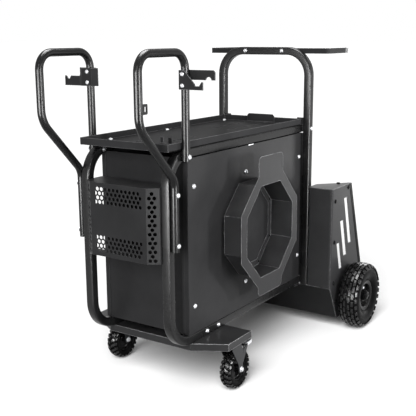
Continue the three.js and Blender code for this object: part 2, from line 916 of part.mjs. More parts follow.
function holderRightRear() {
  const end = holderInner + clampArm;
  const armBottom = holderTop - clampArmHeight;
  const ring = regular(roundFacets, clampNotch, 0, [end - clampNotchInset, armBottom]);
  const notch = ring.slice(0, roundFacets / 2 + 1).reverse();
  const face = [
    [holderInner, holderBottom],
    [holderInner + clampFlat, holderBottom],
    [holderInner + clampFlat, armBottom],
    ...notch,
    [end, armBottom],
    [end, holderTop - hookProng],
    [end - hookProng, holderTop],
    [holderInner, holderTop],
  ];
  return holderPlate(face, holderRear);
}

// Left holder: one plate folded back towards the tray and stepped out to a hook
function holderLeftFront() {
  const { start, end, depth } = leftHookStep;
  const wing = handlePlane - leftHookWing.start;
  const wingEnd = wing - leftHookWing.reach;
  const tip = handlePlane + leftHookArm;
  const fold = [
    [tip, holderFront + depth],
    [handlePlane + end, holderFront + depth],
    [handlePlane + start, holderFront],
    [wing, holderFront],
    [wingEnd, holderFront + leftHookWing.depth],
  ];
  const hookTop = holderBottom + leftHookHeight;
  const notchEnd = tip - leftHookProng;
  const face = [
    [wingEnd - heavySheet, holderBottom],
    [tip, holderBottom],
    [tip, hookTop],
    [notchEnd, hookTop],
    [notchEnd - leftHookNotch / 3, hookTop - leftHookNotchDepth],
    [notchEnd - (2 * leftHookNotch) / 3, hookTop - leftHookNotchDepth],
    [notchEnd - leftHookNotch, hookTop],
    [handlePlane + end, hookTop],
    [handlePlane + start, holderTop],
    [wingEnd - heavySheet, holderTop],
  ];
  const folded = alongZ(strip(fold, heavySheet), holderBottom, holderTop);
  return cut(
    folded.intersect(alongY(face, ...around(holderFront, 2 * tube))),
    ...holderBolts.map((z) => drillY(smallBoltRadius, handlePlane, holderFront, z)),
  );
}

function holderLeftRear() {
  const armBottom = holderTop - clampArmHeight;
  const face = [
    [holderInner, holderBottom],
    [holderInner + clampFlat, holderBottom],
    [holderInner + clampFlat, armBottom],
    [holderInner + leftClampArm, armBottom],
    [holderInner + leftClampArm, holderTop],
    [holderInner, holderTop],
  ];
  return holderPlate(face, holderRear);
}

// Cable drum: octagonal wall with a foot on the panel and a wide outer rim with two flaps
function cableDrum() {
  const middle = [drumSetback, frameBottom + drumRise];
  const eight = (across) => acrossFlats(8, across, middle);
  const opening = eight(drumSize);
  const wall = eight(drumSize + 2 * thinSheet);
  const base = halfFrame + fit;
  const face = base + drumDepth;
  const edge = drumSize / 2 + drumRim;
  const flap = (from, to) => {
    const levels = span(middle[1] + from, middle[1] + to);
    const sheet = rectangle(around(middle[0], drumFlapWidth), levels);
    return alongX(roundedClosed(sheet, drumFlapCorner, 3), face - thinSheet, face);
  };
  const rim = join(
    alongX(eight(2 * edge), face - thinSheet, face),
    flap(drumSize / 4, edge + drumTopFlap),
    flap(-drumSize / 4, -edge - drumBottomFlap),
  );
  return join(
    alongX(wall, base, face, [opening]),
    cut(rim, alongX(opening, ...around(face, tube))),
    alongX(wall, base, base + thinSheet, [eight(drumSize - 2 * drumFoot)]),
  );
}

// Rack side: one sheet folded round the front corner, with slots and a rear flange
function rackSide() {
  const inner = postOutside + fit;
  const fold = [
    [inner, hoopRear - seam],
    [inner, hoopSetback],
    [rackHalfWidth, hoopSetback],
    [rackHalfWidth, rackRear + tube],
  ];
  const rearTop = hoopSetback + rackTopDepth;
  const side = [
    [hoopSetback - seam, rackTop],
    [rearTop, rackTop],
    [rackRear, rackBottom],
    [toeFoot, rackBottom],
    [hoopSetback - seam, frameBottom + seam / toeSlope],
  ];
  const rearEdge = [
    [rackRear, rackBottom],
    [rearTop, rackTop],
  ];
  const flangeReach = [rackHalfWidth - rackRearFlange, rackHalfWidth - rackSheet / 2];
  const flange = alongX(strip(rearEdge, rackSheet), ...flangeReach);
  const wingFoot = block(
    [inner - tube, rackHalfWidth - rackSheet - fit],
    [hoopSetback - seam, hoopRear],
    [rackBottom, toeTop + seam],
  );
  const folded = alongZ(strip(roundedOpen(fold, rackBend, 2), rackSheet), rackBottom, rackTop);
  const trimmed = folded.intersect(alongX(side, inner - tube, rackHalfWidth + tube));
  const slots = rackSlots.map(({ start, width, drop, height }) => {
    const top = rackTop - drop;
    const upper = hoopSetback + start;
    const lower = upper + rackSlotLean * height;
    const edge = [
      [upper, top],
      [lower, top - height],
      [lower + width, top - height],
      [upper + width, top],
    ];
    return alongX(edge, ...around(rackHalfWidth, tube));
  });
  const heads = rackBolts.map(({ setback, drop }) =>
    screwHead([rackHalfWidth, hoopSetback + setback, rackTop - drop], axisX),
  );
  const axleHole = rodX(axleRadius + 2 * fit, ...around(rackHalfWidth, tube), axleSetback, wheelRadius);
  const postHole = drillX(boltRadius, postOutside, hoopMiddle, lowerRail);
  return cut(join(cut(trimmed, wingFoot), flange, ...heads), axleHole, postHole, ...slots);
}

// Rack top: corner plate between the post and the side sheet
function rackTopPlate() {
  const inner = postOutside + fit;
  const bottom = rackTop + fit;
  const edge = [
    [inner, hoopSetback],
    [rackHalfWidth, hoopSetback],
    [rackHalfWidth, hoopSetback + rackTopDepth],
    [inner, hoopSetback + rackTopPost],
  ];
  const bolt = [rackHalfWidth - rackTopBolt.inset, hoopSetback + rackTopBolt.setback, bottom + thinSheet];
  return join(alongZ(edge, bottom, bottom + thinSheet), screwHead(bolt, axisZ));
}

// Rack base: sloping toe and floor in one sheet, with a lip under the rails and upturned sides
function rackBase() {
  const half = rackHalfWidth - rackSheet - fit;
  const rear = rackRear - rackRearFlange / 2;
  const fold = [
    [toeStart, toeTop],
    [toeFoot, rackBottom],
    [rear, rackBottom],
  ];
  const lipEnds = [hoopSetback - tube, toeStart + heavySheet];
  const lip = block([-halfFrame, halfFrame], lipEnds, [toeTop - heavySheet / 2, frameBottom - fit]);
  const sides = [-1, 1].map((side) => {
    const thickness = span(side * (half - heavySheet), side * half);
    const levels = [rackBottom + heavySheet / 2, rackBottom + rackBaseLip];
    return block(thickness, [toeFoot, rear - rackBaseLip], levels);
  });
  const outward = new THREE.Vector3(0, -1, -toeSlope).normalize();
  const heads = [-toeBoltSpread, toeBoltSpread].map((x) =>
    screwHead([x, toeStart + toeSlope * toeBoltDrop, toeTop - toeBoltDrop], outward),
  );
  return join(alongX(strip(fold, heavySheet), -half, half), lip, ...sides, ...heads);
}

// Stub axle about the wheel's middle: flange inside the rack side, collar outside it and a domed end cap
function stubAxle() {
  const sheet = rackHalfWidth - wheelSpread;
  const flangeEnd = sheet - rackSheet - fit;
  const hub = wheelHubLength / 2 + runningFit;
  const end = wheelWidth / 2 - hubCapInset;
  const profile = [
    [flangeEnd - axleFlangeSheet, 0],
    [flangeEnd - axleFlangeSheet, axleFlange],
    [flangeEnd, axleFlange],
    [flangeEnd, axleRadius],
    [sheet + fit, axleRadius],
    [sheet + fit, axleCollar],
    [-hub, axleCollar],
    [-hub, axleRadius],
    [hub, axleRadius],
    [hub, hubCapRadius],
    [(hub + 2 * end) / 3, hubCapRadius],
    [end, hubCapRadius / 2],
    [end, 0],
  ];
  return spunX(profile, roundFacets);
}

// Rear rim: pressed disc with a hub, a well for the tyre and four bolt heads on its outer face
function rearRim() {
  const hub = wheelHubLength / 2;
  const edge = wheelRimWidth / 2;
  const half = [
    [-hub, axleRadius + runningFit],
    [-hub, wheelHubRadius],
    [-wheelRimSheet, wheelHubRadius],
    [-wheelRimSheet, wheelRimRadius - wheelRimSheet],
    [-edge, wheelRimRadius - wheelRimSheet],
    [-edge - wheelRimSheet, wheelRimRadius + wheelRimFlange],
    [-edge, wheelRimRadius],
  ];
  const bolts = [0, 1, 2, 3].map((i) => {
    const angle = (Math.PI * (2 * i + 1)) / 4;
    const point = [wheelRimSheet, wheelBoltCircle * Math.cos(angle), wheelBoltCircle * Math.sin(angle)];
    return screwHead(point, axisX);
  });
  return join(spunX(bothSides(half), rimFacets), ...bolts);
}

// Tyre: at every third facet the shoulder points drop into a groove, out of step on the two sides
function tyre(half, shoulder, depth, facets) {
  const last = 2 * half.length - 1;
  return spunX(bothSides(half), facets, (positions, count) => {
    for (let vertex = 0; vertex < positions.count; vertex++) {
      const step = Math.floor(vertex / count) % facets;
      const corner = vertex % count;
      const groovedLeft = shoulder.includes(corner) && step % 3 === 0;
      const groovedRight = shoulder.includes(last - corner) && step % 3 === 1;
      if (!groovedLeft && !groovedRight) continue;
      const radius = Math.hypot(positions.getX(vertex), positions.getZ(vertex));
      const shrink = (radius - depth) / radius;
      positions.setX(vertex, positions.getX(vertex) * shrink);
      positions.setZ(vertex, positions.getZ(vertex) * shrink);
    }
  });
}

function rearTyre() {
  const side = wheelWidth / 2;
  const seat = wheelRimRadius + fit + runningFit;
  const bead = seat + wheelRimFlange;
  const shoulder = wheelRadius - 2 * wheelTreadDepth;
  const half = [
    [-wheelRimWidth / 2 + seam, seat],
    [-wheelRimWidth / 2 - seam, bead],
    [-side, (bead + shoulder) / 2],
    [-side + seam, shoulder],
    [-side + wheelRibHalf, wheelRadius - wheelTreadDepth],
    [-wheelRibHalf - wheelRibGroove, wheelRadius - fit],
    [-wheelRibHalf - wheelRibGroove / 2, wheelRadius - wheelRibGroove],
    [-wheelRibHalf, wheelRadius],
  ];
  return tyre(half, [4, 5], wheelTreadDepth, wheelFacets);
}

function castorTyre() {
  const side = castorTyreWidth / 2;
  const seat = castorRimRadius + fit;
  const half = [
    [-castorRimWidth / 2, seat],
    [-side, (seat + castorRadius) / 2],
    [-side + castorTreadDepth, castorRadius - castorTreadDepth / 2],
    [-side / 3, castorRadius],
  ];
  return tyre(half, [2], castorTreadDepth, castorFacets);
}

function castorRim() {
  const bore = castorAxleRadius + runningFit;
  const half = [
    [runningFit - forkInside, bore],
    [runningFit - forkInside, castorAxleHead + fit],
    [-castorWeb / 2, castorAxleHead + castorWeb / 2],
    [-castorWeb / 2, castorRimRadius - castorWeb / 2],
    [-castorRimWidth / 2, castorRimRadius - castorWeb / 2],
    [-castorRimWidth / 2, castorRimRadius],
  ];
  return spunX(bothSides(half), roundFacets);
}

// Fixed half of the castor: top plate, upper race and kingpin
function castorMount() {
  const plate = rectangle(around(0, mountWidth), around(0, mountLength));
  const headTop = crownBottom - runningFit;
  return join(
    alongZ(roundedClosed(plate, mountCorner, 1), mountTop - mountSheet, mountTop),
    rodZ(cupRadius, raceTop + runningFit, mountTop - mountSheet / 2, 0, 0),
    rodZ(kingpinRadius, headTop - kingpinHeadHeight / 2, raceTop + cupHeight, 0, 0),
    rodZ(kingpinHead, headTop - kingpinHeadHeight, headTop, 0, 0),
  );
}

// Fork: crown with the lower race, two tapered legs and ears for the brake pedal
function castorFork() {
  const { y, z } = pedalPin;
  const leg = [
    [-forkFront, crownTop],
    [-forkFront, crownBottom - crownSheet],
    [castorTrail - forkWaist, castorRadius + forkBoss],
    [castorTrail - forkBoss, castorRadius],
    [castorTrail + forkBoss, castorRadius],
    [castorTrail + forkWaist, castorRadius + forkBoss],
    [y + pedalEar, z - forkCheek],
    [y + pedalEar, z + pedalEar / 2],
    [forkFront, crownTop],
  ];
  const boss = regular(roundFacets, forkBoss, 0, [castorTrail, castorRadius]);
  const legs = [-forkOutside, forkInside].flatMap((x) => [
    alongX(leg, x, x + forkSheet),
    alongX(boss, x, x + forkSheet),
  ]);
  const crown = block([-forkOutside, forkOutside], [-forkFront, forkFront], [crownBottom, crownTop]);
  const race = rodZ(raceRadius, crownTop - crownSheet / 2, raceTop, 0, 0);
  const across = around(0, 3 * forkOutside);
  return cut(
    join(crown, ...legs, race),
    rodZ(kingpinRadius + runningFit, crownBottom - seam, raceTop + seam, 0, 0),
    rodX(castorAxleRadius + fit, ...across, castorTrail, castorRadius),
    rodX(pedalPinRadius + runningFit, ...across, y, z),
  );
}

function castorAxle() {
  const face = forkOutside + fit;
  const end = face + castorAxleHeadHeight;
  const profile = [
    [-end, 0],
    [-end, castorAxleHead * 0.8],
    [-face, castorAxleHead],
    [-face, castorAxleRadius],
    [face, castorAxleRadius],
    [face, castorAxleHead],
    [end, castorAxleHead * 0.6],
    [end, 0],
  ];
  return spunX(profile, roundFacets);
}

// Brake pedal: bent lever with its pin and the shoe that comes down towards the tyre
function brakePedal() {
  const { y, z } = pedalPin;
  const half = pedalWidth / 2;
  const under = z + pedalPinRadius / 2;
  const lever = [
    [y - pedalPinRadius, under],
    [y + pedalReach / 2, under],
    [y + pedalReach, under + pedalLift],
  ];
  const shoeEnds = [y + pedalShoeSetback, y + pedalShoeSetback + pedalShoeLength];
  const shoe = rectangle(shoeEnds, [z - pedalShoeDrop, under + heavySheet / 2]);
  const pinReach = forkOutside + pedalPinRadius;
  return join(
    alongX(strip(lever, heavySheet), -half, half),
    alongX(shoe, -half / 2, half / 2),
    rodX(pedalPinRadius, -pinReach, pinReach, y, z),
  );
}

// Assembly, standing with the middle of its length over the origin
const cart = new THREE.Group();
cart.position.set(0, -cartMiddle, 0);

function place(parent, name, solid, material) {
  const mesh = new THREE.Mesh(toGeometry(solid), material);
  mesh.name = name;
  parent.add(mesh);
  return mesh;
}

function placePair(name, solid, material) {
  place(cart, name + "_right", solid, material);
  place(cart, name + "_left", mirrored(solid), material);
}

placePair("side_frame", sideFrame(), powderCoat);
place(cart, "rear_hoop", rearHoop(), powderCoat);
place(cart, "castor_plate", castorPlate(), powderCoat);
place(cart, "bottle_guard", bottleGuard(), powderCoat);
place(cart, "tray", trayBox(), powderCoat);
place(cart, "tray_rear_stop", trayStop(), powderCoat);
placePair("cabinet_side_panel", sidePanel(), powderCoat);
const endTurn = new THREE.Matrix4().makeRotationZ(Math.PI);
endTurn.setPosition(0, cabinetSetback + cabinetRear, 0);
place(cart, "cabinet_front_panel", endPanel(), powderCoat);
place(cart, "cabinet_rear_panel", moved(endPanel(), endTurn), powderCoat);
place(cart, "cabinet_floor", cabinetFloor(), powderCoat);
place(cart, "front_guard", frontGuard(), powderCoat);
place(cart, "handle_right", join(pushHandle(), slottedTab()), powderCoat);
place(cart, "handle_left", mirrored(pushHandle()), powderCoat);
place(cart, "torch_holder_right_front", holderRightFront(), powderCoat);
place(cart, "torch_holder_right_rear", holderRightRear(), powderCoat);
place(cart, "torch_holder_left_front", mirrored(holderLeftFront()), powderCoat);
place(cart, "torch_holder_left_rear", mirrored(holderLeftRear()), powderCoat);
place(cart, "cable_drum", cableDrum(), powderCoat);
placePair("rack_side", rackSide(), powderCoat);
placePair("rack_top", rackTopPlate(), powderCoat);
place(cart, "rack_base", rackBase(), powderCoat);

// Bolts, each with its nut, heads outwards or forwards
const handleGrip = handleTube + tube + thinSheet + 3 * fit;
const postGrip = 2 * tube + postGap + 2 * fit;
const guardGrip = tube + guardThickness + 3 * fit;
const holderGrip = handleTube + 2 * heavySheet + 4 * fit;
const handleBolt = coachBolt(boltRadius, boltHeadRadius, boltHeadHeight, handleGrip);
const postBolt = coachBolt(boltRadius, boltHeadRadius, boltHeadHeight, postGrip);
const rackBolt = coachBolt(boltRadius, boltHeadRadius, boltHeadHeight, postGrip + rackSheet + fit);
const guardBolt = coachBolt(boltRadius, boltHeadRadius, boltHeadHeight, guardGrip);
const holderBolt = coachBolt(smallBoltRadius, smallHeadRadius, smallHeadHeight, holderGrip);

function placeBolt(name, solid, position, turn) {
  const mesh = place(cart, name, solid, zincPlate);
  mesh.position.set(...position);
  mesh.rotation.z = turn;
}

function placeBolts(word, side, outwards) {
  const forwards = -Math.PI / 2;
  const handleHead = side * (handlePlane + handleRadius + fit);
  const postHead = side * (postOutside + fit);
  const rackHead = side * (postOutside + rackSheet + 2 * fit);
  const holderHead = holderFront - heavySheet - fit;
  placeBolt("handle_bolt_upper_" + word, handleBolt, [handleHead, tube / 2, handleBoltUpper], outwards);
  placeBolt("handle_bolt_lower_" + word, handleBolt, [handleHead, tube / 2, handleBoltLower], outwards);
  placeBolt("handle_bolt_rear_" + word, handleBolt, [handleHead, handleRearLeg, handleRearBolt], outwards);
  placeBolt("post_bolt_upper_" + word, postBolt, [postHead, hoopMiddle, upperRail], outwards);
  placeBolt("post_bolt_lower_" + word, rackBolt, [rackHead, hoopMiddle, lowerRail], outwards);
  placeBolt("guard_bolt_" + word, guardBolt, [side * guardBoltSpread, hoopSetback - fit, hoopBar], forwards);
  const holderSide = side * handlePlane;
  placeBolt("holder_bolt_lower_" + word, holderBolt, [holderSide, holderHead, holderBolts[0]], forwards);
  placeBolt("holder_bolt_upper_" + word, holderBolt, [holderSide, holderHead, holderBolts[1]], forwards);
}

function placeWheel(word, side, outwards) {
  const wheel = new THREE.Group();
  wheel.position.set(side * wheelSpread, axleSetback, wheelRadius);
  wheel.rotation.z = outwards;
  cart.add(wheel);
  place(wheel, "rear_rim_" + word, rearRim(), rimPaint);
  place(wheel, "rear_tyre_" + word, rearTyre(), rubber);
  place(wheel, "axle_" + word, stubAxle(), zincPlate);
}

function placeCastor(word, side) {
  const castor = new THREE.Group();
  castor.position.set(side * castorSpread, castorSetback, 0);
  cart.add(castor);
  place(castor, "castor_mount_" + word, castorMount(), castorSteel);
  place(castor, "castor_fork_" + word, castorFork(), castorSteel);
  place(castor, "castor_pedal_" + word, brakePedal(), castorSteel);
  const rolling = new THREE.Group();
  rolling.position.set(0, castorTrail, castorRadius);
  castor.add(rolling);
  place(rolling, "castor_axle_" + word, castorAxle(), zincPlate);
  place(rolling, "castor_rim_" + word, castorRim(), rimPaint);
  place(rolling, "castor_tyre_" + word, castorTyre(), rubber);
}

placeBolts("right", 1, 0);
placeBolts("left", -1, Math.PI);
placeWheel("right", 1, 0);
placeWheel("left", -1, Math.PI);
placeCastor("right", 1);
placeCastor("left", -1);

const weldingCart = new THREE.Group();
weldingCart.add(cart);

export default weldingCart;
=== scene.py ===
"""Welding cart: smooth tubes, tyres, rims and fasteners, procedural finishes, studio and camera."""
import json
import math

import bmesh
import bpy
from bpy.props import FloatProperty, FloatVectorProperty, IntProperty, PointerProperty
from mathutils import Matrix, Vector

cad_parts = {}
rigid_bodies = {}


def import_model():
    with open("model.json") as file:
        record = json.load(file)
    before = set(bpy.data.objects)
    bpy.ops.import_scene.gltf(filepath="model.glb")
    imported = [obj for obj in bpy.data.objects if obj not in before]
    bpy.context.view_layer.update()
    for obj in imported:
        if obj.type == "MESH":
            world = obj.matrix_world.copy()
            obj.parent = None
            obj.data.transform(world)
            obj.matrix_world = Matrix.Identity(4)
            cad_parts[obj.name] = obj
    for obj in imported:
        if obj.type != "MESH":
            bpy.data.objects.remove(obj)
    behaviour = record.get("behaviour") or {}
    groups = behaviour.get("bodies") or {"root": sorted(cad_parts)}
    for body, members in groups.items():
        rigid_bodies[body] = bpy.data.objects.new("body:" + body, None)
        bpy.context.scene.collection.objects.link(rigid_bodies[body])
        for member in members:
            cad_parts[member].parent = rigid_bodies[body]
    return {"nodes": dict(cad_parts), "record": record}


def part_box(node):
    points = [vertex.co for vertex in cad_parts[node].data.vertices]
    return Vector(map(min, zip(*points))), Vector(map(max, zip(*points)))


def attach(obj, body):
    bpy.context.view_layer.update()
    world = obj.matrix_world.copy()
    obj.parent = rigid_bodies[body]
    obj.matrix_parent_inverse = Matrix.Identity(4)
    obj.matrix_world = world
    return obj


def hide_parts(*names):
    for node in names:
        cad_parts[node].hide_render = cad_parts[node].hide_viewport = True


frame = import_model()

bl_info = {
    "name": "Welding Cart",
    "version": (1, 0, 0),
    "blender": (4, 5, 0),
    "location": "3D View > Sidebar > Cart",
    "description": "Builds the tubes, wheels, fasteners, finishes and studio of a welding cart",
    "category": "Object",
}

SIDES = {"right": 1, "left": -1}
CART_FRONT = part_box("side_frame_right")[0].y
AXIS_X = Vector((1, 0, 0))
AXIS_Y = Vector((0, 1, 0))
AXIS_Z = Vector((0, 0, 1))


def spot(x, y, z):
    """Point given in millimetres from the front of the frame tubes, as metres in the shared frame."""
    return Vector((x / 1000, CART_FRONT + y / 1000, z / 1000))


def length(name, description, default):
    return FloatProperty(name=name, description=description, default=default, unit="LENGTH", min=0)


def colour(name, description, default):
    return FloatVectorProperty(
        name=name, description=description, default=default, subtype="COLOR", size=3, min=0, max=1
    )


class CartTubeSizes(bpy.types.PropertyGroup):
    """Stock and bends of the frame, hoop and handles"""

    tube: length("Frame tube", "Width of the square frame tube", 0.030)
    corner: length("Tube corner", "Corner radius of the square tube", 0.0046)
    wall: length("Wall", "Wall thickness of all tubes", 0.002)
    frame_bend: length("Frame bend", "Middle radius of the side frame bends", 0.097)
    hoop_bend: length("Hoop bend", "Middle radius of the rear hoop bends", 0.093)
    handle: length("Handle tube", "Diameter of the round handle tube", 0.0254)
    handle_bend: length("Handle bend", "Middle radius of the upper handle bends", 0.052)
    elbow_bend: length("Elbow bend", "Middle radius where the handle turns back to the frame", 0.090)
    knee_bend: length("Knee bend", "Middle radius where the handle meets the front tube", 0.060)
    steps: IntProperty(name="Bend steps", description="Faces along each bend", default=12, min=2)


class CartWheelSizes(bpy.types.PropertyGroup):
    """Tread of the rear wheels and castors"""

    rear_lugs: IntProperty(name="Rear lugs", description="Tread lugs round a rear tyre", default=28, min=8)
    rear_lug: length("Rear lug height", "Height of the rear tread lugs", 0.0056)
    castor_lugs: IntProperty(name="Castor lugs", description="Tread lugs round a castor", default=22, min=8)
    castor_lug: length("Castor lug height", "Height of the castor tread lugs", 0.0046)
    lug_taper: length("Lug taper", "How far the lug walls lean in", 0.0007)


class CartFastenerSizes(bpy.types.PropertyGroup):
    """Screws and bolts"""

    screw: length("Screw head", "Radius of the button heads on the panels", 0.0086)
    screw_height: length("Screw height", "Height of the button heads on the panels", 0.0054)
    socket: length("Socket", "Radius of the hexagon socket in a button head", 0.0026)
    bolt_height: length("Bolt head height", "Height of a bolt's domed head", 0.0052)
    nut_height: length("Nut height", "Height of a bolt's nut", 0.0090)


class CartFinishes(bpy.types.PropertyGroup):
    """Colours of the finishes"""

    coat: colour("Powder coat", "Black textured coat of the sheet", (0.043, 0.043, 0.0445))
    tube_coat: colour("Tube coat", "Smoother black coat of the frame tubes", (0.0137, 0.0137, 0.0141))
    handle_coat: colour("Handle coat", "Glossy black coat of the handles and the hoop", (0.012, 0.012, 0.0124))
    # Colour of scuffed edges, lightened enough to also paint highlights along edges.
    coat_worn_and_lit: colour("Worn coat", "Coat where edges are rubbed", (0.20, 0.20, 0.205))
    zinc: colour("Zinc plate", "Bright plated screws and bolts", (0.80, 0.81, 0.83))
    rubber: colour("Rubber", "Tyre rubber", (0.006, 0.006, 0.0063))
    # Lug tops are lighter as scuffed rubber and as a painted highlight.
    tread: colour("Tread", "Scuffed rubber of the tread lugs", (0.018, 0.018, 0.0183))
    rim: colour("Rim paint", "Semi-gloss wheel paint", (0.007, 0.007, 0.0076))
    steel: colour("Castor steel", "Dark plated castor steel", (0.034, 0.035, 0.037))
    dust: colour("Dust", "Fine workshop dust", (0.23, 0.22, 0.205))


class CartStudio(bpy.types.PropertyGroup):
    """Camera, light and floor"""

    place: FloatVectorProperty(
        name="Camera place", description="Where the camera stands", default=(1.5475, CART_FRONT - 1.85, 1.178),
        subtype="TRANSLATION", size=3,
    )
    heading: FloatProperty(
        name="Heading", description="Turn of the view to the left", default=math.radians(33.59), subtype="ANGLE"
    )
    pitch: FloatProperty(
        name="Pitch", description="Tilt of the view downwards", default=math.radians(12.454), subtype="ANGLE"
    )
    roll: FloatProperty(
        name="Roll", description="Turn of the picture", default=math.radians(-0.346), subtype="ANGLE"
    )
    focal: FloatProperty(name="Focal length", description="Lens in millimetres on a 36 mm sensor", default=67.37)
    ambient: FloatProperty(name="Ambient", description="Even light from all round", default=0.25, min=0)
    overhead: FloatProperty(name="Overhead", description="Strength of the overhead light", default=4.9, min=0)
    front: FloatProperty(name="Front", description="Watts of the tall softbox in front", default=34, min=0)
    right: FloatProperty(name="Right", description="Watts of the tall softbox at the right", default=33, min=0)
    key: FloatProperty(name="Key", description="Watts of the square softbox at the right rear", default=20, min=0)
    rear: FloatProperty(name="Rear", description="Watts of the low softbox at the rear", default=7, min=0)
    fill: FloatProperty(name="Fill", description="Watts of each softbox at the left and at the back", default=34, min=0)
    front_glint: FloatProperty(
        name="Front glint", description="Watts of the front reflector, seen in gloss alone", default=260, min=0
    )
    right_glint: FloatProperty(
        name="Right glint", description="Watts of the right reflector, seen in gloss alone", default=210, min=0
    )
    corner_glint: FloatProperty(
        name="Corner glint", description="Watts of the reflector for corners, seen in gloss alone", default=120, min=0
    )
    top_glint: FloatProperty(
        name="Top glint", description="Watts of the top reflector, seen in gloss alone", default=240, min=0
    )
    floor_bounce: FloatProperty(
        name="Floor bounce", description="Share of light that the floor throws back at the cart", default=0.2, min=0
    )
    floor_lift: FloatProperty(
        name="Floor lift", description="White that the floor shows besides its lit colour", default=0.02, min=0
    )


# Shader building blocks

def link(tree, source, output, target, socket):
    tree.links.new(source.outputs[output], target.inputs[socket])


def add_node(tree, kind, **values):
    node = tree.nodes.new(kind)
    for key, value in values.items():
        setattr(node, key, value)
    return node


def new_group(name, inputs, outputs):
    """Empty shader node group with named float inputs and typed outputs."""
    group = bpy.data.node_groups.new(name, "ShaderNodeTree")
    for label, default in inputs.items():
        socket = group.interface.new_socket(label, in_out="INPUT", socket_type="NodeSocketFloat")
        socket.default_value = default
    for label, kind in outputs.items():
        group.interface.new_socket(label, in_out="OUTPUT", socket_type=kind)
    start = add_node(group, "NodeGroupInput")
    end = add_node(group, "NodeGroupOutput")
    return group, start, end


def noise(tree, coordinates, scale, detail=3.0, roughness=0.55):
    texture = add_node(tree, "ShaderNodeTexNoise")
    texture.inputs["Scale"].default_value = scale
    texture.inputs["Detail"].default_value = detail
    texture.inputs["Roughness"].default_value = roughness
    link(tree, coordinates, "Object", texture, "Vector")
    return texture


def spread(tree, source, output, low, high, to_low=0.0, to_high=1.0):
    """Maps a value from one range to another, clamped."""
    ranges = add_node(tree, "ShaderNodeMapRange")
    ranges.inputs["From Min"].default_value = low
    ranges.inputs["From Max"].default_value = high
    ranges.inputs["To Min"].default_value = to_low
    ranges.inputs["To Max"].default_value = to_high
    link(tree, source, output, ranges, "Value")
    return ranges


def math_node(tree, operation, first, second):
    """Math node from two (node, output) pairs or plain numbers."""
    node = add_node(tree, "ShaderNodeMath", operation=operation)
    for index, value in enumerate((first, second)):
        if isinstance(value, tuple):
            tree.links.new(value[0].outputs[value[1]], node.inputs[index])
        else:
            node.inputs[index].default_value = value
    return node


def edge_wear_group():
    """Rounded normals at edges, and a mask of scuffed edges that the finishes also use to paint highlights along edges.
    """
    group, start, end = new_group(
        "Edge wear",
        {"Radius": 0.002, "Round": 0.001, "Amount": 0.5, "Patch scale": 35.0},
        {"Mask": "NodeSocketFloat", "Normal": "NodeSocketVector"},
    )
    coordinates = add_node(group, "ShaderNodeTexCoord")
    rounded = add_node(group, "ShaderNodeBevel", samples=6)
    link(group, start, "Radius", rounded, "Radius")
    geometry = add_node(group, "ShaderNodeNewGeometry")
    likeness = add_node(group, "ShaderNodeVectorMath", operation="DOT_PRODUCT")
    link(group, rounded, "Normal", likeness, 0)
    link(group, geometry, "Normal", likeness, 1)
    edge = spread(group, likeness, "Value", 0.985, 0.80)
    patches = noise(group, coordinates, 35.0, detail=4.0)
    link(group, start, "Patch scale", patches, "Scale")
    rubbed_and_lit = spread(group, patches, "Fac", 0.36, 0.60, 0.45, 1.0)
    mask = math_node(group, "MULTIPLY", (edge, "Result"), (rubbed_and_lit, "Result"))
    scaled = math_node(group, "MULTIPLY", (mask, "Value"), 0.5)
    group.links.new(start.outputs["Amount"], scaled.inputs[1])
    link(group, scaled, "Value", end, "Mask")
    shaded = add_node(group, "ShaderNodeBevel", samples=6)
    link(group, start, "Round", shaded, "Radius")
    link(group, shaded, "Normal", end, "Normal")
    return group


def coat_grain_group():
    """Fine pebbled height and a slow mottling of tone."""
    group, start, end = new_group(
        "Coat grain",
        {"Grain scale": 900.0, "Mottle scale": 9.0},
        {"Height": "NodeSocketFloat", "Tone": "NodeSocketFloat"},
    )
    coordinates = add_node(group, "ShaderNodeTexCoord")
    pebbles = noise(group, coordinates, 900.0, detail=2.0)
    link(group, start, "Grain scale", pebbles, "Scale")
    ripple = noise(group, coordinates, 160.0, detail=2.0)
    height = math_node(group, "MULTIPLY_ADD", (ripple, "Fac"), 0.6)
    group.links.new(pebbles.outputs["Fac"], height.inputs[2])
    mottle = noise(group, coordinates, 9.0, detail=5.0)
    link(group, start, "Mottle scale", mottle, "Scale")
    tone = spread(group, mottle, "Fac", 0.32, 0.70)
    link(group, height, "Value", end, "Height")
    link(group, tone, "Result", end, "Tone")
    return group


def dust_group():
    """Mask of dust that settles on faces turned upwards."""
    group, start, end = new_group(
        "Settled dust", {"Amount": 0.1, "Everywhere": 0.1}, {"Mask": "NodeSocketFloat"}
    )
    coordinates = add_node(group, "ShaderNodeTexCoord")
    geometry = add_node(group, "ShaderNodeNewGeometry")
    parts = add_node(group, "ShaderNodeSeparateXYZ")
    link(group, geometry, "Normal", parts, "Vector")
    upward = spread(group, parts, "Z", 0.2, 0.95)
    base = math_node(group, "MAXIMUM", (upward, "Result"), (start, "Everywhere"))
    clouds = noise(group, coordinates, 14.0, detail=6.0, roughness=0.65)
    cloudy = spread(group, clouds, "Fac", 0.40, 0.72)
    mask = math_node(group, "MULTIPLY", (base, "Value"), (cloudy, "Result"))
    scaled = math_node(group, "MULTIPLY", (mask, "Value"), (start, "Amount"))
    link(group, scaled, "Value", end, "Mask")
    return group


def effect(tree, name, **values):
    node = add_node(tree, "ShaderNodeGroup", node_tree=bpy.data.node_groups[name])
    for label, value in values.items():
        node.inputs[label.replace("_", " ").capitalize()].default_value = value
    return node


def tint(tree, amount, first, second):
    """Mixes two colours; each is a colour or a (node, output) pair, and amount is such a pair."""
    mix = add_node(tree, "ShaderNodeMix", data_type="RGBA")
    tree.links.new(amount[0].outputs[amount[1]], mix.inputs["Factor"])
    for socket, value in ((mix.inputs[6], first), (mix.inputs[7], second)):
        if isinstance(value[0], bpy.types.Node):
            tree.links.new(value[0].outputs[value[1]], socket)
        else:
            socket.default_value = (*value, 1)
    return mix


def lighter(base, factor):
    return tuple(min(1.0, part * factor) for part in base)


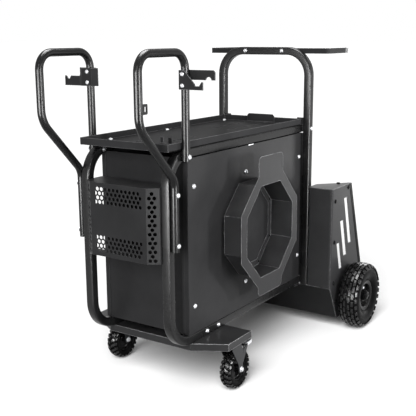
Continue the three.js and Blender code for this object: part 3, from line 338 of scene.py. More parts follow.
def finish(name, base, worn_and_lit, look):
    """Material with mottled colour, edges lightened for scuffed coat and as a painted highlight, dust, uneven gloss and
    a fine grain.
    """
    material = bpy.data.materials.new(name)
    material.use_nodes = True
    tree = material.node_tree
    shader = tree.nodes["Principled BSDF"]
    shader.inputs["Metallic"].default_value = look["metallic"]
    shader.inputs["Specular IOR Level"].default_value = look["specular"]
    grain = effect(tree, "Coat grain", grain_scale=look["grain_scale"], mottle_scale=look["mottle_scale"])
    wear = effect(tree, "Edge wear", radius=look["edge_radius"], round=look["edge_round"], amount=look["wear"])
    dust = effect(tree, "Settled dust", amount=look["dust"], everywhere=look["dust_everywhere"])
    mottled = tint(tree, (grain, "Tone"), lighter(base, 1 - look["mottle"]), lighter(base, 1 + look["mottle"]))
    # Lighter edge colour: scuffed coat and a painted highlight along edges.
    rubbed_and_lit = tint(tree, (wear, "Mask"), (mottled, 2), worn_and_lit)
    dusty = tint(tree, (dust, "Mask"), (rubbed_and_lit, 2), tuple(bpy.context.scene.cart_finishes.dust))
    tree.links.new(dusty.outputs[2], shader.inputs["Base Color"])
    low, high = look["gloss"]
    uneven = spread(tree, grain, "Tone", 0.0, 1.0, low, high)
    dulled = math_node(tree, "MULTIPLY_ADD", (dust, "Mask"), 0.5)
    tree.links.new(uneven.outputs["Result"], dulled.inputs[2])
    tree.links.new(dulled.outputs["Value"], shader.inputs["Roughness"])
    bump = add_node(tree, "ShaderNodeBump")
    bump.inputs["Strength"].default_value = look["bump"]
    bump.inputs["Distance"].default_value = 0.0006
    link(tree, grain, "Height", bump, "Height")
    link(tree, wear, "Normal", bump, "Normal")
    link(tree, bump, "Normal", shader, "Normal")
    return material


LOOKS = {
    "powder_coat": dict(
        metallic=0.0, specular=0.07, grain_scale=850, mottle_scale=7, edge_radius=0.0026, edge_round=0.0012,
        wear=0.35, dust=0.05, dust_everywhere=0.10, mottle=0.14, gloss=(0.36, 0.46), bump=0.16,
    ),
    # The next five coats lift their worn colour to paint highlights along edges; wear sets how much.
    "folded_coat": dict(
        metallic=0.0, specular=0.07, grain_scale=850, mottle_scale=7, edge_radius=0.0036, edge_round=0.0012,
        wear=0.80, dust=0.05, dust_everywhere=0.10, mottle=0.14, gloss=(0.36, 0.46), bump=0.16,
    ),
    "drum_coat": dict(
        metallic=0.0, specular=0.07, grain_scale=850, mottle_scale=7, edge_radius=0.0036, edge_round=0.0012,
        wear=0.80, dust=0.05, dust_everywhere=0.10, mottle=0.14, gloss=(0.36, 0.46), bump=0.16,
    ),
    "plate_coat": dict(
        metallic=0.0, specular=0.16, grain_scale=850, mottle_scale=7, edge_radius=0.0040, edge_round=0.0040,
        wear=0.90, dust=0.05, dust_everywhere=0.10, mottle=0.14, gloss=(0.34, 0.44), bump=0.12,
    ),
    "sheen_coat": dict(
        metallic=0.0, specular=0.5, grain_scale=850, mottle_scale=7, edge_radius=0.0036, edge_round=0.0012,
        wear=0.80, dust=0.05, dust_everywhere=0.10, mottle=0.14, gloss=(0.30, 0.40), bump=0.12,
    ),
    "tray_coat": dict(
        metallic=0.0, specular=0.02, grain_scale=850, mottle_scale=7, edge_radius=0.0036, edge_round=0.0012,
        wear=0.45, dust=0.05, dust_everywhere=0.10, mottle=0.14, gloss=(0.50, 0.60), bump=0.16,
    ),
    "tube_coat": dict(
        metallic=0.0, specular=0.20, grain_scale=1100, mottle_scale=9, edge_radius=0.0012, edge_round=0.0012,
        wear=0.12, dust=0.02, dust_everywhere=0.10, mottle=0.10, gloss=(0.25, 0.31), bump=0.06,
    ),
    "handle_coat": dict(
        metallic=0.0, specular=0.14, grain_scale=1100, mottle_scale=9, edge_radius=0.0012, edge_round=0.0012,
        wear=0.30, dust=0.05, dust_everywhere=0.10, mottle=0.14, gloss=(0.20, 0.28), bump=0.04,
    ),
    "zinc_plate": dict(
        metallic=1.0, specular=0.5, grain_scale=1800, mottle_scale=60, edge_radius=0.0006, edge_round=0.0006,
        wear=0.2, dust=0.05, dust_everywhere=0.3, mottle=0.10, gloss=(0.30, 0.44), bump=0.10,
    ),
    "rubber": dict(
        metallic=0.0, specular=0.018, grain_scale=650, mottle_scale=16, edge_radius=0.0008, edge_round=0.0008,
        wear=0.12, dust=0.02, dust_everywhere=0.35, mottle=0.22, gloss=(0.24, 0.34), bump=0.16,
    ),
    "tread_rubber": dict(
        metallic=0.0, specular=0.22, grain_scale=420, mottle_scale=60, edge_radius=0.0010, edge_round=0.0008,
        wear=0.5, dust=0.04, dust_everywhere=0.35, mottle=0.30, gloss=(0.22, 0.34), bump=0.22,
    ),
    "rim_paint": dict(
        metallic=0.0, specular=0.08, grain_scale=1200, mottle_scale=20, edge_radius=0.0012, edge_round=0.0012,
        wear=0.4, dust=0.06, dust_everywhere=0.3, mottle=0.14, gloss=(0.12, 0.22), bump=0.05,
    ),
    "castor_steel": dict(
        metallic=0.5, specular=0.3, grain_scale=1300, mottle_scale=40, edge_radius=0.0014, edge_round=0.0012,
        wear=0.6, dust=0.08, dust_everywhere=0.3, mottle=0.20, gloss=(0.28, 0.42), bump=0.14,
    ),
}
# These sheet pieces take coats with painted edge highlights; the drum's and the tray's coats are also painted lighter.
COATS = {
    "rack_top": "sheen_coat",
    "castor_plate": "plate_coat",
    "tray": "tray_coat",
    "cable_drum": "drum_coat",
    "rack_": "folded_coat",
    "bottle_guard": "folded_coat",
    "torch_holder": "folded_coat",
}
TUBES = ("side_frame_right_tube", "side_frame_left_tube", "rear_hoop_tube", "handle_right_tube", "handle_left_tube")
WHEELS = ("rear_tyre_", "rear_rim_", "castor_tyre_", "castor_rim_")


def finish_of(slot):
    return bpy.data.materials["cart_" + slot]


# Mesh building blocks

def keep_piece(bm, name, body, slot, replaced=(), angle=35.0, coat=None, second=None):
    """Makes the mesh an object that rides on a body and takes a slot's finish or variants of it."""
    mesh = bpy.data.meshes.new(name)
    bm.to_mesh(mesh)
    bm.free()
    mesh.shade_smooth()
    mesh.set_sharp_from_angle(angle=math.radians(angle))
    mesh.materials.append(finish_of(coat or slot))
    if second:
        mesh.materials.append(finish_of(second))
    piece = bpy.data.objects.new(name, mesh)
    bpy.context.scene.collection.objects.link(piece)
    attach(piece, body)
    if replaced:
        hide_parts(*replaced)
    return piece


def upright(point, direction, across):
    """Matrix that puts local Z along a direction and local X across it, at a point."""
    z = direction.normalized()
    x = (across - across.dot(z) * z).normalized()
    turn = Matrix((x, z.cross(x), z)).transposed().to_4x4()
    return Matrix.Translation(point) @ turn


def facing(point, direction):
    """Matrix that puts local Z along a direction, with any turn about it."""
    across = AXIS_Z if abs(direction.normalized().z) < 0.9 else AXIS_X
    return upright(point, direction, across)


def edges_of(geometry):
    return [item for item in geometry if isinstance(item, bmesh.types.BMEdge)]


def verts_of(geometry):
    return [item for item in geometry if isinstance(item, bmesh.types.BMVert)]


def faces_of(geometry):
    return [item for item in geometry if isinstance(item, bmesh.types.BMFace)]


def rounded_face(bm, width, height, radius, segments, matrix):
    """One rectangular face with rounded corners."""
    made = bmesh.ops.create_grid(bm, x_segments=1, y_segments=1, size=0.5)
    bmesh.ops.scale(bm, vec=(width, height, 1), verts=made["verts"])
    shaped = bmesh.ops.bevel(
        bm, geom=made["verts"], offset=radius, offset_type="OFFSET", affect="VERTICES", segments=segments,
        profile=0.5, material=-1,
    )
    corners = shaped["verts"]
    bmesh.ops.transform(bm, matrix=matrix, verts=corners)
    return corners[0].link_faces[0]


def outline_edges(bm, face):
    """Drops a face and keeps its edges."""
    edges = list(face.edges)
    bmesh.ops.delete(bm, geom=[face], context="FACES_ONLY")
    return edges


def swept(bm, edges, corners, radii, steps):
    """Carries an outline along straight runs joined by round bends."""
    still = {"axis": AXIS_Z, "cent": (0, 0, 0), "angle": 0.0, "steps": 1, "use_duplicate": False}
    geometry = edges
    here = corners[0]
    for index, radius in enumerate(radii, start=1):
        before = (corners[index] - corners[index - 1]).normalized()
        after = (corners[index + 1] - corners[index]).normalized()
        turn = before.angle(after)
        entry = corners[index] - before * radius * math.tan(turn / 2)
        geometry = bmesh.ops.spin(bm, geom=geometry, dvec=entry - here, **still)["geom_last"]
        axis = before.cross(after).normalized()
        middle = entry + axis.cross(before) * radius
        geometry = bmesh.ops.spin(
            bm, geom=geometry, cent=middle, axis=axis, angle=turn, steps=steps, use_duplicate=False
        )["geom_last"]
        here = corners[index] + after * radius * math.tan(turn / 2)
    bmesh.ops.spin(bm, geom=geometry, dvec=corners[-1] - here, **still)


def hollow(bm, start, wall):
    """Turns an open tube's faces away from its middle line and gives it a wall, inwards."""
    bmesh.ops.recalc_face_normals(bm, faces=bm.faces[:])
    bm.faces.ensure_lookup_table()
    first = bm.faces[0]
    if first.normal.dot(first.calc_center_median() - start) < 0:
        bmesh.ops.reverse_faces(bm, faces=bm.faces[:])
    bmesh.ops.solidify(bm, geom=bm.faces[:], thickness=wall)


def square_tube(bm, corners, radii, sizes, across):
    start = upright(corners[0], corners[1] - corners[0], across)
    face = rounded_face(bm, sizes.tube, sizes.tube, sizes.corner, 4, start)
    swept(bm, outline_edges(bm, face), corners, radii, sizes.steps)
    hollow(bm, corners[0], sizes.wall)


def round_tube(bm, corners, radii, sizes, across):
    start = upright(corners[0], corners[1] - corners[0], across)
    ring = bmesh.ops.create_circle(bm, cap_ends=False, segments=28, radius=sizes.handle / 2, matrix=start)
    edges = {edge for vert in ring["verts"] for edge in vert.link_edges}
    swept(bm, sorted(edges, key=lambda edge: edge.index), corners, radii, sizes.steps)
    hollow(bm, corners[0], sizes.wall)


def block(bm, low, high, bevel):
    """Block between two corners with rounded edges."""
    size = (abs(part) for part in high - low)
    place = Matrix.Translation((low + high) / 2) @ Matrix.Diagonal((*size, 1))
    made = bmesh.ops.create_cube(bm, size=1, matrix=place)
    edges = {edge for vert in made["verts"] for edge in vert.link_edges}
    bmesh.ops.bevel(
        bm, geom=list(edges), offset=bevel, offset_type="OFFSET", affect="EDGES", segments=2, profile=0.5, material=-1
    )


def turned(bm, profile, steps, closed):
    """Spins a profile of (along X, radius) points, in millimetres, round the X axis."""
    verts = [bm.verts.new((x / 1000, 0, radius / 1000)) for x, radius in profile]
    pairs = list(zip(verts, verts[1:]))
    if closed:
        pairs.append((verts[-1], verts[0]))
    edges = [bm.edges.new(pair) for pair in pairs]
    bmesh.ops.spin(
        bm, geom=verts + edges, cent=(0, 0, 0), axis=AXIS_X, angle=2 * math.pi, steps=steps,
        use_merge=True, use_duplicate=False,
    )
    bmesh.ops.remove_doubles(bm, verts=bm.verts[:], dist=1e-6)
    bmesh.ops.recalc_face_normals(bm, faces=bm.faces[:])


def both_sides(half):
    """Closes a half profile, given on the +X side from inner to outer, with its mirror image."""
    return [(-x, radius) for x, radius in reversed(half)] + list(half)


def soften(piece, width, segments=2):
    bevel = piece.modifiers.new("Soft edges", "BEVEL")
    bevel.width = width
    bevel.segments = segments
    bevel.limit_method = "ANGLE"
    bevel.angle_limit = math.radians(30)
    bevel.harden_normals = True
    return piece


def axle_of(tyre):
    """Middle of a wheel whose tyre stands on the floor."""
    low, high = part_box(tyre)
    return Vector(((low.x + high.x) / 2, (low.y + high.y) / 2, high.z / 2))


def place_on_axle(bm, middle, side):
    """Turns a wheel's outer face to its own side and moves it to its axle."""
    if side < 0:
        bmesh.ops.rotate(bm, cent=(0, 0, 0), matrix=Matrix.Rotation(math.pi, 3, "Z"), verts=bm.verts[:])
    bmesh.ops.translate(bm, vec=middle, verts=bm.verts[:])


def raise_lugs(bm, bands, foot, count, height, taper):
    """Raises tread lugs on a spun tyre above a foot radius; bands are (from, to, shift, fill) across it."""
    chosen = []
    for face in bm.faces:
        middle = face.calc_center_median()
        if math.hypot(middle.y, middle.z) < foot:
            continue
        turn = math.atan2(middle.y, middle.z) / (2 * math.pi) * count
        stagger = 0.5 if middle.x < 0 else 0.0
        for low, high, shift, fill in bands:
            if low <= abs(middle.x) < high and (turn + shift + stagger) % 1.0 < fill:
                chosen.append(face)
    bmesh.ops.inset_region(
        bm, faces=chosen, thickness=taper, depth=height, use_even_offset=True, use_boundary=True
    )
    for face in chosen:
        # Lug tops take the second finish, lighter as scuffed rubber and as a painted highlight.
        face.material_index = 1


def button_head(bm, matrix, radius, height, socket):
    """Domed button head with a hexagon socket, standing on local Z."""
    levels = ((0.0, 1.0), (0.30, 0.97), (0.58, 0.84), (0.82, 0.62), (0.95, 0.46))
    made = []
    rings = []
    for up, out in levels:
        lift = Matrix.Translation((0, 0, up * height))
        ring = bmesh.ops.create_circle(bm, cap_ends=False, segments=18, radius=radius * out, matrix=lift)["verts"]
        rings.append([edge for vert in ring for edge in vert.link_edges])
        made += ring
    lip = Matrix.Translation((0, 0, height))
    for depth in (0.0, 0.22):
        lift = Matrix.Translation((0, 0, -depth * height)) @ lip
        ring = bmesh.ops.create_circle(bm, cap_ends=False, segments=6, radius=socket, matrix=lift)["verts"]
        rings.append([edge for vert in ring for edge in vert.link_edges])
        made += ring
    for lower, upper in zip(rings, rings[1:]):
        bmesh.ops.bridge_loops(bm, edges=list(dict.fromkeys(lower + upper)))
    bmesh.ops.contextual_create(bm, geom=list(dict.fromkeys(rings[-1])))
    bmesh.ops.transform(bm, matrix=matrix, verts=made)


def hexagon_nut(bm, matrix, radius, height):
    """Six-sided nut with broken edges, standing on local Z."""
    made = bmesh.ops.create_cone(
        bm, cap_ends=True, segments=6, radius1=radius, radius2=radius, depth=height,
        matrix=matrix @ Matrix.Translation((0, 0, height / 2)),
    )
    edges = {edge for vert in made["verts"] for edge in vert.link_edges}
    bmesh.ops.bevel(
        bm, geom=list(edges), offset=radius * 0.12, offset_type="OFFSET", affect="EDGES", segments=2, profile=0.5,
        material=-1,
    )


def shank(bm, matrix, radius, reach):
    bmesh.ops.create_cone(
        bm, cap_ends=True, segments=12, radius1=radius, radius2=radius, depth=reach,
        matrix=matrix @ Matrix.Translation((0, 0, -reach / 2)),
    )


class CART_OT_finishes(bpy.types.Operator):
    """Makes the finishes and puts them on the sheet pieces"""

    bl_idname = "cart.finishes"
    bl_label = "Finishes"

    def execute(self, context):
        colours = context.scene.cart_finishes
        edge_wear_group()
        coat_grain_group()
        dust_group()
        pairs = {
            "powder_coat": (colours.coat, colours.coat_worn_and_lit),
            # The worn colours lifted 3.2 and 4.6 times paint highlights along the edges of the sheet.
            "folded_coat": (colours.coat, lighter(colours.coat_worn_and_lit, 3.2)),
            # The drum's coat is a lighter copy of the coat: painted light.
            "drum_coat": (lighter(colours.coat, 1.15), lighter(colours.coat_worn_and_lit, 3.2)),
            "plate_coat": (colours.coat, lighter(colours.coat_worn_and_lit, 4.6)),
            "sheen_coat": (colours.coat, lighter(colours.coat_worn_and_lit, 3.2)),
            # The tray's coat is a lighter copy with little gloss: its sheen is painted into the colour.
            "tray_coat": (lighter(colours.coat, 1.28), lighter(colours.coat_worn_and_lit, 3.2)),
            "tube_coat": (colours.tube_coat, colours.coat_worn_and_lit),
            "handle_coat": (colours.handle_coat, colours.coat_worn_and_lit),
            "zinc_plate": (colours.zinc, lighter(colours.zinc, 1.15)),
            "rubber": (colours.rubber, colours.coat_worn_and_lit),
            # The tread colour paints the lug tops lighter: scuffed rubber and painted highlight.
            "tread_rubber": (colours.tread, colours.coat_worn_and_lit),
            "rim_paint": (colours.rim, colours.coat_worn_and_lit),
            "castor_steel": (colours.steel, lighter(colours.steel, 2.2)),
        }
        for slot, (base, worn_and_lit) in pairs.items():
            finish("cart_" + slot, tuple(base), tuple(worn_and_lit), LOOKS[slot])
        for part in frame["record"]["subparts"]:
            node = frame["nodes"][part["node"]]
            node.data.materials.clear()
            slot = part["material_slot"]
            coats = [coat for start, coat in COATS.items() if part["node"].startswith(start)]
            node.data.materials.append(finish_of((coats or [slot])[0]))
        return {"FINISHED"}


class CART_OT_side_frames(bpy.types.Operator):
    """Bends the two side frames"""

    bl_idname = "cart.side_frames"
    bl_label = "Side frames"

    def execute(self, context):
        sizes = context.scene.cart_tubes
        for word, side in SIDES.items():
            middle = side * 160.5
            corners = [spot(middle, y, z) for y, z in ((905, 208), (15, 208), (15, 824), (905, 824))]
            bm = bmesh.new()
            square_tube(bm, corners, [sizes.frame_bend] * 2, sizes, AXIS_X)
            name = "side_frame_" + word
            keep_piece(bm, name + "_tube", "frame", "powder_coat", [name], coat="tube_coat")
        return {"FINISHED"}


class CART_OT_rear_hoop(bpy.types.Operator):
    """Bends the rear hoop and sets its pads against the side frames"""

    bl_idname = "cart.rear_hoop"
    bl_label = "Rear hoop"

    def execute(self, context):
        sizes = context.scene.cart_tubes
        low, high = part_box("rear_hoop")
        post = high.x * 1000 - 15
        top = high.z * 1000 - 15
        corners = [spot(x, 895, z) for x, z in ((-post, 191), (-post, top), (post, top), (post, 191))]
        bm = bmesh.new()
        square_tube(bm, corners, [sizes.hoop_bend] * 2, sizes, AXIS_Y)
        keep_piece(bm, "rear_hoop_tube", "frame", "powder_coat", ["rear_hoop"], coat="tube_coat")
        bm = bmesh.new()
        inside = post - 15
        for side in SIDES.values():
            for level in (211, 824):
                block(bm, spot(side * 175.8, 884, level - 11), spot(side * inside, 906, level + 11), 0.0008)
            block(bm, spot(side * 161.5, 884, 225), spot(side * inside, 887, 807), 0.0006)
            block(bm, spot(side * 152, 884, 838.8), spot(side * inside, 887, 866), 0.0006)
        keep_piece(bm, "rear_hoop_flanges", "frame", "powder_coat")
        return {"FINISHED"}


class CART_OT_handles(bpy.types.Operator):
    """Bends the two push handles and adds the slotted tab of the right one"""

    bl_idname = "cart.handles"
    bl_label = "Push handles"

    def execute(self, context):
        sizes = context.scene.cart_tubes
        path = ((77, 803.7), (77, 1132), (-150, 1132), (-150, 926), (15, 753), (15, 530))
        radii = [sizes.handle_bend, sizes.handle_bend, sizes.elbow_bend, sizes.knee_bend]
        for word, side in SIDES.items():
            corners = [spot(side * 188.5, y, z) for y, z in path]
            bm = bmesh.new()
            round_tube(bm, corners, radii, sizes, AXIS_X)
            name = "handle_" + word
            keep_piece(bm, name + "_tube", "frame", "powder_coat", [name], coat="handle_coat")
        self.slotted_tab()
        return {"FINISHED"}

    def slotted_tab(self):
        middle = spot(188.5, -124, 978)
        turn = upright(middle - AXIS_X * 0.0015, AXIS_X, AXIS_Y)
        bm = bmesh.new()
        outer = outline_edges(bm, rounded_face(bm, 0.028, 0.030, 0.004, 4, turn))
        inner = outline_edges(bm, rounded_face(bm, 0.008, 0.016, 0.003, 4, turn @ Matrix.Translation((0.004, 0, 0))))
        sheet = bmesh.ops.bridge_loops(bm, edges=outer + inner)["faces"]
        raised = bmesh.ops.extrude_face_region(bm, geom=sheet, use_keep_orig=True)["geom"]
        bmesh.ops.translate(bm, vec=AXIS_X * 0.003, verts=verts_of(raised))
        bmesh.ops.recalc_face_normals(bm, faces=bm.faces[:])
        keep_piece(bm, "handle_right_tab", "frame", "powder_coat", coat="handle_coat")


class CART_OT_rear_wheels(bpy.types.Operator):
    """Turns the rear tyres with their tread, the pressed rims and the stub axles"""

    bl_idname = "cart.rear_wheels"
    bl_label = "Rear wheels"

    def execute(self, context):
        sizes = context.scene.cart_wheels
        tyre_half = [
            (1.4, 127.3), (3.8, 127.2), (14, 126.6), (16.4, 126.2), (27, 123.8), (29.4, 122.8), (33, 120.2),
            (36.6, 114.5), (38.6, 107.5), (39.6, 102), (39.9, 98.5), (39.2, 97.6), (39.5, 91.5),
            (38.3, 84), (35.6, 76.5), (32.4, 70), (30.6, 66.8), (28.4, 64.8), (26.6, 62.5), (24.2, 54), (22, 51.9),
        ]
        rim_half = [
            (0, 51), (24, 51), (25.8, 53.5), (27.2, 62.4), (29.2, 62.6), (28.6, 54), (26.4, 48.6), (24, 47.2),
            (13, 46.4), (9.5, 44.6), (8, 41), (6.4, 38.5), (5.4, 36), (5.4, 29), (6.8, 25.5), (9.5, 23),
            (13, 21.2), (29, 20.4), (30, 19.4), (30, 10.6), (0, 10.6),
        ]
        tread = (
            (0.0, 0.0014, 0.0, 1.0), (0.0038, 0.014, 0.0, 0.83), (0.0164, 0.027, 0.5, 0.83),
            (0.0294, 0.0366, 0.0, 0.66),
        )
        for word, side in SIDES.items():
            middle = axle_of("rear_tyre_" + word)
            body = "rear_wheel_" + word
            bm = bmesh.new()
            turned(bm, both_sides(tyre_half)[::-1], 6 * sizes.rear_lugs, True)
            raise_lugs(bm, tread, 0.1145, sizes.rear_lugs, sizes.rear_lug, sizes.lug_taper)
            place_on_axle(bm, middle, side)
            name = "rear_tyre_" + word
            keep_piece(bm, name + "_tread", body, "rubber", [name], 28, second="tread_rubber")
            bm = bmesh.new()
            turned(bm, both_sides(rim_half[1:-1]), 48, True)
            place_on_axle(bm, middle, side)
            rim = keep_piece(bm, "rear_rim_" + word + "_pressing", body, "rim_paint", ["rear_rim_" + word])
            soften(rim, 0.0008)
            self.rim_bolts(word, middle, side, body)
            self.stub_axle(word, middle, side)
        return {"FINISHED"}

    def rim_bolts(self, word, middle, side, body):
        bm = bmesh.new()
        for index in range(4):
            turn = math.pi / 4 + index * math.pi / 2
            for face in (1, -1):
                point = Vector((face * 0.0054, 0.0325 * math.cos(turn), 0.0325 * math.sin(turn)))
                hexagon_nut(bm, facing(point, AXIS_X * face), 0.0066, 0.0046)
                tip = facing(point + AXIS_X * face * 0.0066, AXIS_X * face)
                shank(bm, tip, 0.0034, 0.005)
        place_on_axle(bm, middle, side)
        keep_piece(bm, "rear_rim_" + word + "_bolts", body, "zinc_plate")

    def stub_axle(self, word, middle, side):
        profile = [
            (-63.8, 0), (-63.8, 23), (-62.8, 24), (-58.9, 24), (-58.9, 10), (-55.7, 10), (-55.7, 16), (-30.6, 16),
            (-30.6, 10), (30.4, 10), (30.4, 0),
        ]
        cap = [
            (30.6, 0), (30.6, 17), (31.4, 18), (33.2, 18), (35.6, 16.4), (37.4, 13.4), (38.2, 10), (37.4, 8.4),
            (37.4, 6.8), (38.6, 6.2), (39, 4.5), (39, 0),
        ]
        bm = bmesh.new()
        turned(bm, profile, 32, False)
        place_on_axle(bm, middle, side)
        keep_piece(bm, "axle_" + word + "_turned", "frame", "zinc_plate", ["axle_" + word])
        bm = bmesh.new()
        turned(bm, cap, 32, False)
        place_on_axle(bm, middle, side)
        keep_piece(bm, "axle_" + word + "_cap", "frame", "rim_paint")


class CART_OT_castor_wheels(bpy.types.Operator):
    """Turns the castor tyres with their tread, their rims and axle bolts"""

    bl_idname = "cart.castor_wheels"
    bl_label = "Castor wheels"

    def execute(self, context):
        sizes = context.scene.cart_wheels
        tyre_half = [
            (1, 66.3), (7, 66), (13, 64.2), (16.4, 61.2), (18.6, 57.4), (19.4, 54.6), (19.9, 51.6), (19.2, 48.6),
            (17.6, 45.6), (15.6, 43.4), (14.2, 42.4),
        ]
        rim_half = [
            (14.6, 42), (15, 41), (15, 38.6), (12.5, 38), (6, 36.6), (4.4, 34), (4, 30), (4, 18), (5.6, 14.6),
            (9, 12.4), (22.4, 11), (23, 10.2), (23, 5.6),
        ]
        tread = ((0.001, 0.007, 0.0, 0.6), (0.007, 0.013, 0.2, 0.6), (0.013, 0.0186, 0.4, 0.6))
        for word, side in SIDES.items():
            middle = axle_of("castor_tyre_" + word)
            body = "castor_wheel_" + word
            bm = bmesh.new()
            turned(bm, both_sides(tyre_half)[::-1], 5 * sizes.castor_lugs, True)
            raise_lugs(bm, tread, 0.0574, sizes.castor_lugs, sizes.castor_lug, sizes.lug_taper)
            place_on_axle(bm, middle, side)
            name = "castor_tyre_" + word
            keep_piece(bm, name + "_tread", body, "rubber", [name], 28, second="tread_rubber")
            bm = bmesh.new()
            turned(bm, both_sides(rim_half), 40, True)
            place_on_axle(bm, middle, side)
            rim = keep_piece(bm, "castor_rim_" + word + "_moulding", body, "rim_paint", ["castor_rim_" + word])
            soften(rim, 0.0006)
            self.axle_bolt(word, middle)
        return {"FINISHED"}

    def axle_bolt(self, word, middle):
        low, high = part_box("castor_axle_" + word)
        bm = bmesh.new()
        for face, end in ((1, high.x), (-1, low.x)):
            seat = Vector((end - face * 0.0066, middle.y, middle.z))
            washer = facing(seat - AXIS_X * face * 0.0003, AXIS_X * face)
            bmesh.ops.create_cone(
                bm, cap_ends=True, segments=28, radius1=0.0095, radius2=0.0088, depth=0.0012,
                matrix=washer @ Matrix.Translation((0, 0, 0.0006)),
            )
            hexagon_nut(bm, facing(seat + AXIS_X * face * 0.0006, AXIS_X * face), 0.0078, 0.0050)
        shank(bm, facing(Vector((high.x - 0.0004, middle.y, middle.z)), AXIS_X), 0.0046, high.x - low.x - 0.0008)
        keep_piece(bm, "castor_axle_" + word + "_bolt", "castor_swivel_" + word, "zinc_plate", ["castor_axle_" + word])


class CART_OT_castor_forks(bpy.types.Operator):
    """Presses the castor forks: two slim legs with pedal ears, the crown and its race"""

    bl_idname = "cart.castor_forks"
    bl_label = "Castor forks"

    def execute(self, context):
        boss = [(math.cos(turn) * 14 + 27, math.sin(turn) * 14 + 71) for turn in self.lower_half(8)]
        leg = [(-28, 163.4), (-28, 155.4), (11, 92), *boss, (39, 88), (36, 118), (38, 136), (48, 141), (70, 142)]
        leg += [(70, 151.5), (50, 157), (28, 163.4)]
        for word, side in SIDES.items():
            middle = side * 247
            bm = bmesh.new()
            for inner in (23.5, -26.5):
                verts = [bm.verts.new(spot(middle + inner, 239.5 + y, z)) for y, z in leg]
                sheet = bmesh.ops.contextual_create(bm, geom=verts)["faces"]
                raised = bmesh.ops.extrude_face_region(bm, geom=sheet, use_keep_orig=True)["geom"]
                bmesh.ops.translate(bm, vec=AXIS_X * 0.003, verts=verts_of(raised))
            bmesh.ops.recalc_face_normals(bm, faces=bm.faces[:])
            block(bm, spot(middle - 23.5, 211.5, 159.4), spot(middle + 23.5, 267.5, 163.4), 0.0006)
            bmesh.ops.create_cone(
                bm, cap_ends=True, segments=40, radius1=0.026, radius2=0.024, depth=0.015,
                matrix=Matrix.Translation(spot(middle, 239.5, 170.9)),
            )
            name = "castor_fork_" + word
            fork = keep_piece(bm, name + "_pressing", "castor_swivel_" + word, "castor_steel", [name])
            soften(fork, 0.0006)
        return {"FINISHED"}

    def lower_half(self, steps):
        return [math.pi + step * math.pi / steps for step in range(steps + 1)]


class CART_OT_brake_pedals(bpy.types.Operator):
    """Presses the castor brake pedals with their side flanges, shoe and pin"""

    bl_idname = "cart.brake_pedals"
    bl_label = "Brake pedals"

    def execute(self, context):
        for word, side in SIDES.items():
            middle = side * 247
            bm = bmesh.new()
            path = ((299.5, 149.6), (326, 149.6), (343, 152.4), (348, 150.6))
            verts = [bm.verts.new(spot(middle - 21.5, y, z)) for y, z in path]
            ends = [bm.edges.new(pair) for pair in zip(verts, verts[1:])]
            sheet = bmesh.ops.extrude_edge_only(bm, edges=ends)["geom"]
            bmesh.ops.translate(bm, vec=AXIS_X * 0.043, verts=verts_of(sheet))
            for flange in (ends[:2], [edge for edge in edges_of(sheet) if len(edge.link_faces) == 1][:2]):
                hung = bmesh.ops.extrude_edge_only(bm, edges=flange)["geom"]
                bmesh.ops.translate(bm, vec=AXIS_Z * -0.011, verts=verts_of(hung))
            bmesh.ops.recalc_face_normals(bm, faces=bm.faces[:])
            name = "castor_pedal_" + word
            body = "castor_brake_" + word
            pedal = keep_piece(bm, name + "_pressing", body, "zinc_plate", [name])
            wall = pedal.modifiers.new("Sheet", "SOLIDIFY")
            wall.thickness = 0.002
            wall.offset = 0
            soften(pedal, 0.0005)
            bm = bmesh.new()
            block(bm, spot(middle - 10, 312, 134), spot(middle + 10, 321, 148.4), 0.001)
            shank(bm, facing(spot(middle + 29.4, 302.5, 147), AXIS_X), 0.003, 0.0588)
            keep_piece(bm, name + "_shoe", body, "zinc_plate", coat="castor_steel")
        return {"FINISHED"}


class CART_OT_bolts(bpy.types.Operator):
    """Makes the through bolts with domed heads and hexagon nuts"""

    bl_idname = "cart.bolts"
    bl_label = "Through bolts"

    def execute(self, context):
        sizes = context.scene.cart_fasteners
        for word in SIDES:
            names = sorted(name for name in frame["nodes"] if "bolt" in name and name.endswith(word))
            bm = bmesh.new()
            for name in names:
                self.bolt(bm, name, sizes)
            keep_piece(bm, "bolts_" + word, "frame", "zinc_plate", names)
        return {"FINISHED"}

    def bolt(self, bm, name, sizes):
        low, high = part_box(name)
        size = high - low
        middle = (low + high) / 2
        if size.x > size.y:
            outwards = AXIS_X * math.copysign(1, middle.x)
            reach = size.x
        else:
            outwards = -AXIS_Y
            reach = size.y
        radius = size.z / 2
        height = min(sizes.bolt_height, radius * 0.7)
        seat = facing(middle + outwards * (reach / 2 - height), outwards)
        button_head(bm, seat, radius * 1.05, height, radius * 0.42)
        grip = reach - height - sizes.nut_height
        shank(bm, seat, radius * 0.52, grip + sizes.nut_height * 0.95)
        nut = seat @ Matrix.Translation((0, 0, -grip)) @ Matrix.Rotation(math.pi, 4, "X")
        hexagon_nut(bm, nut, radius, sizes.nut_height * 0.75)


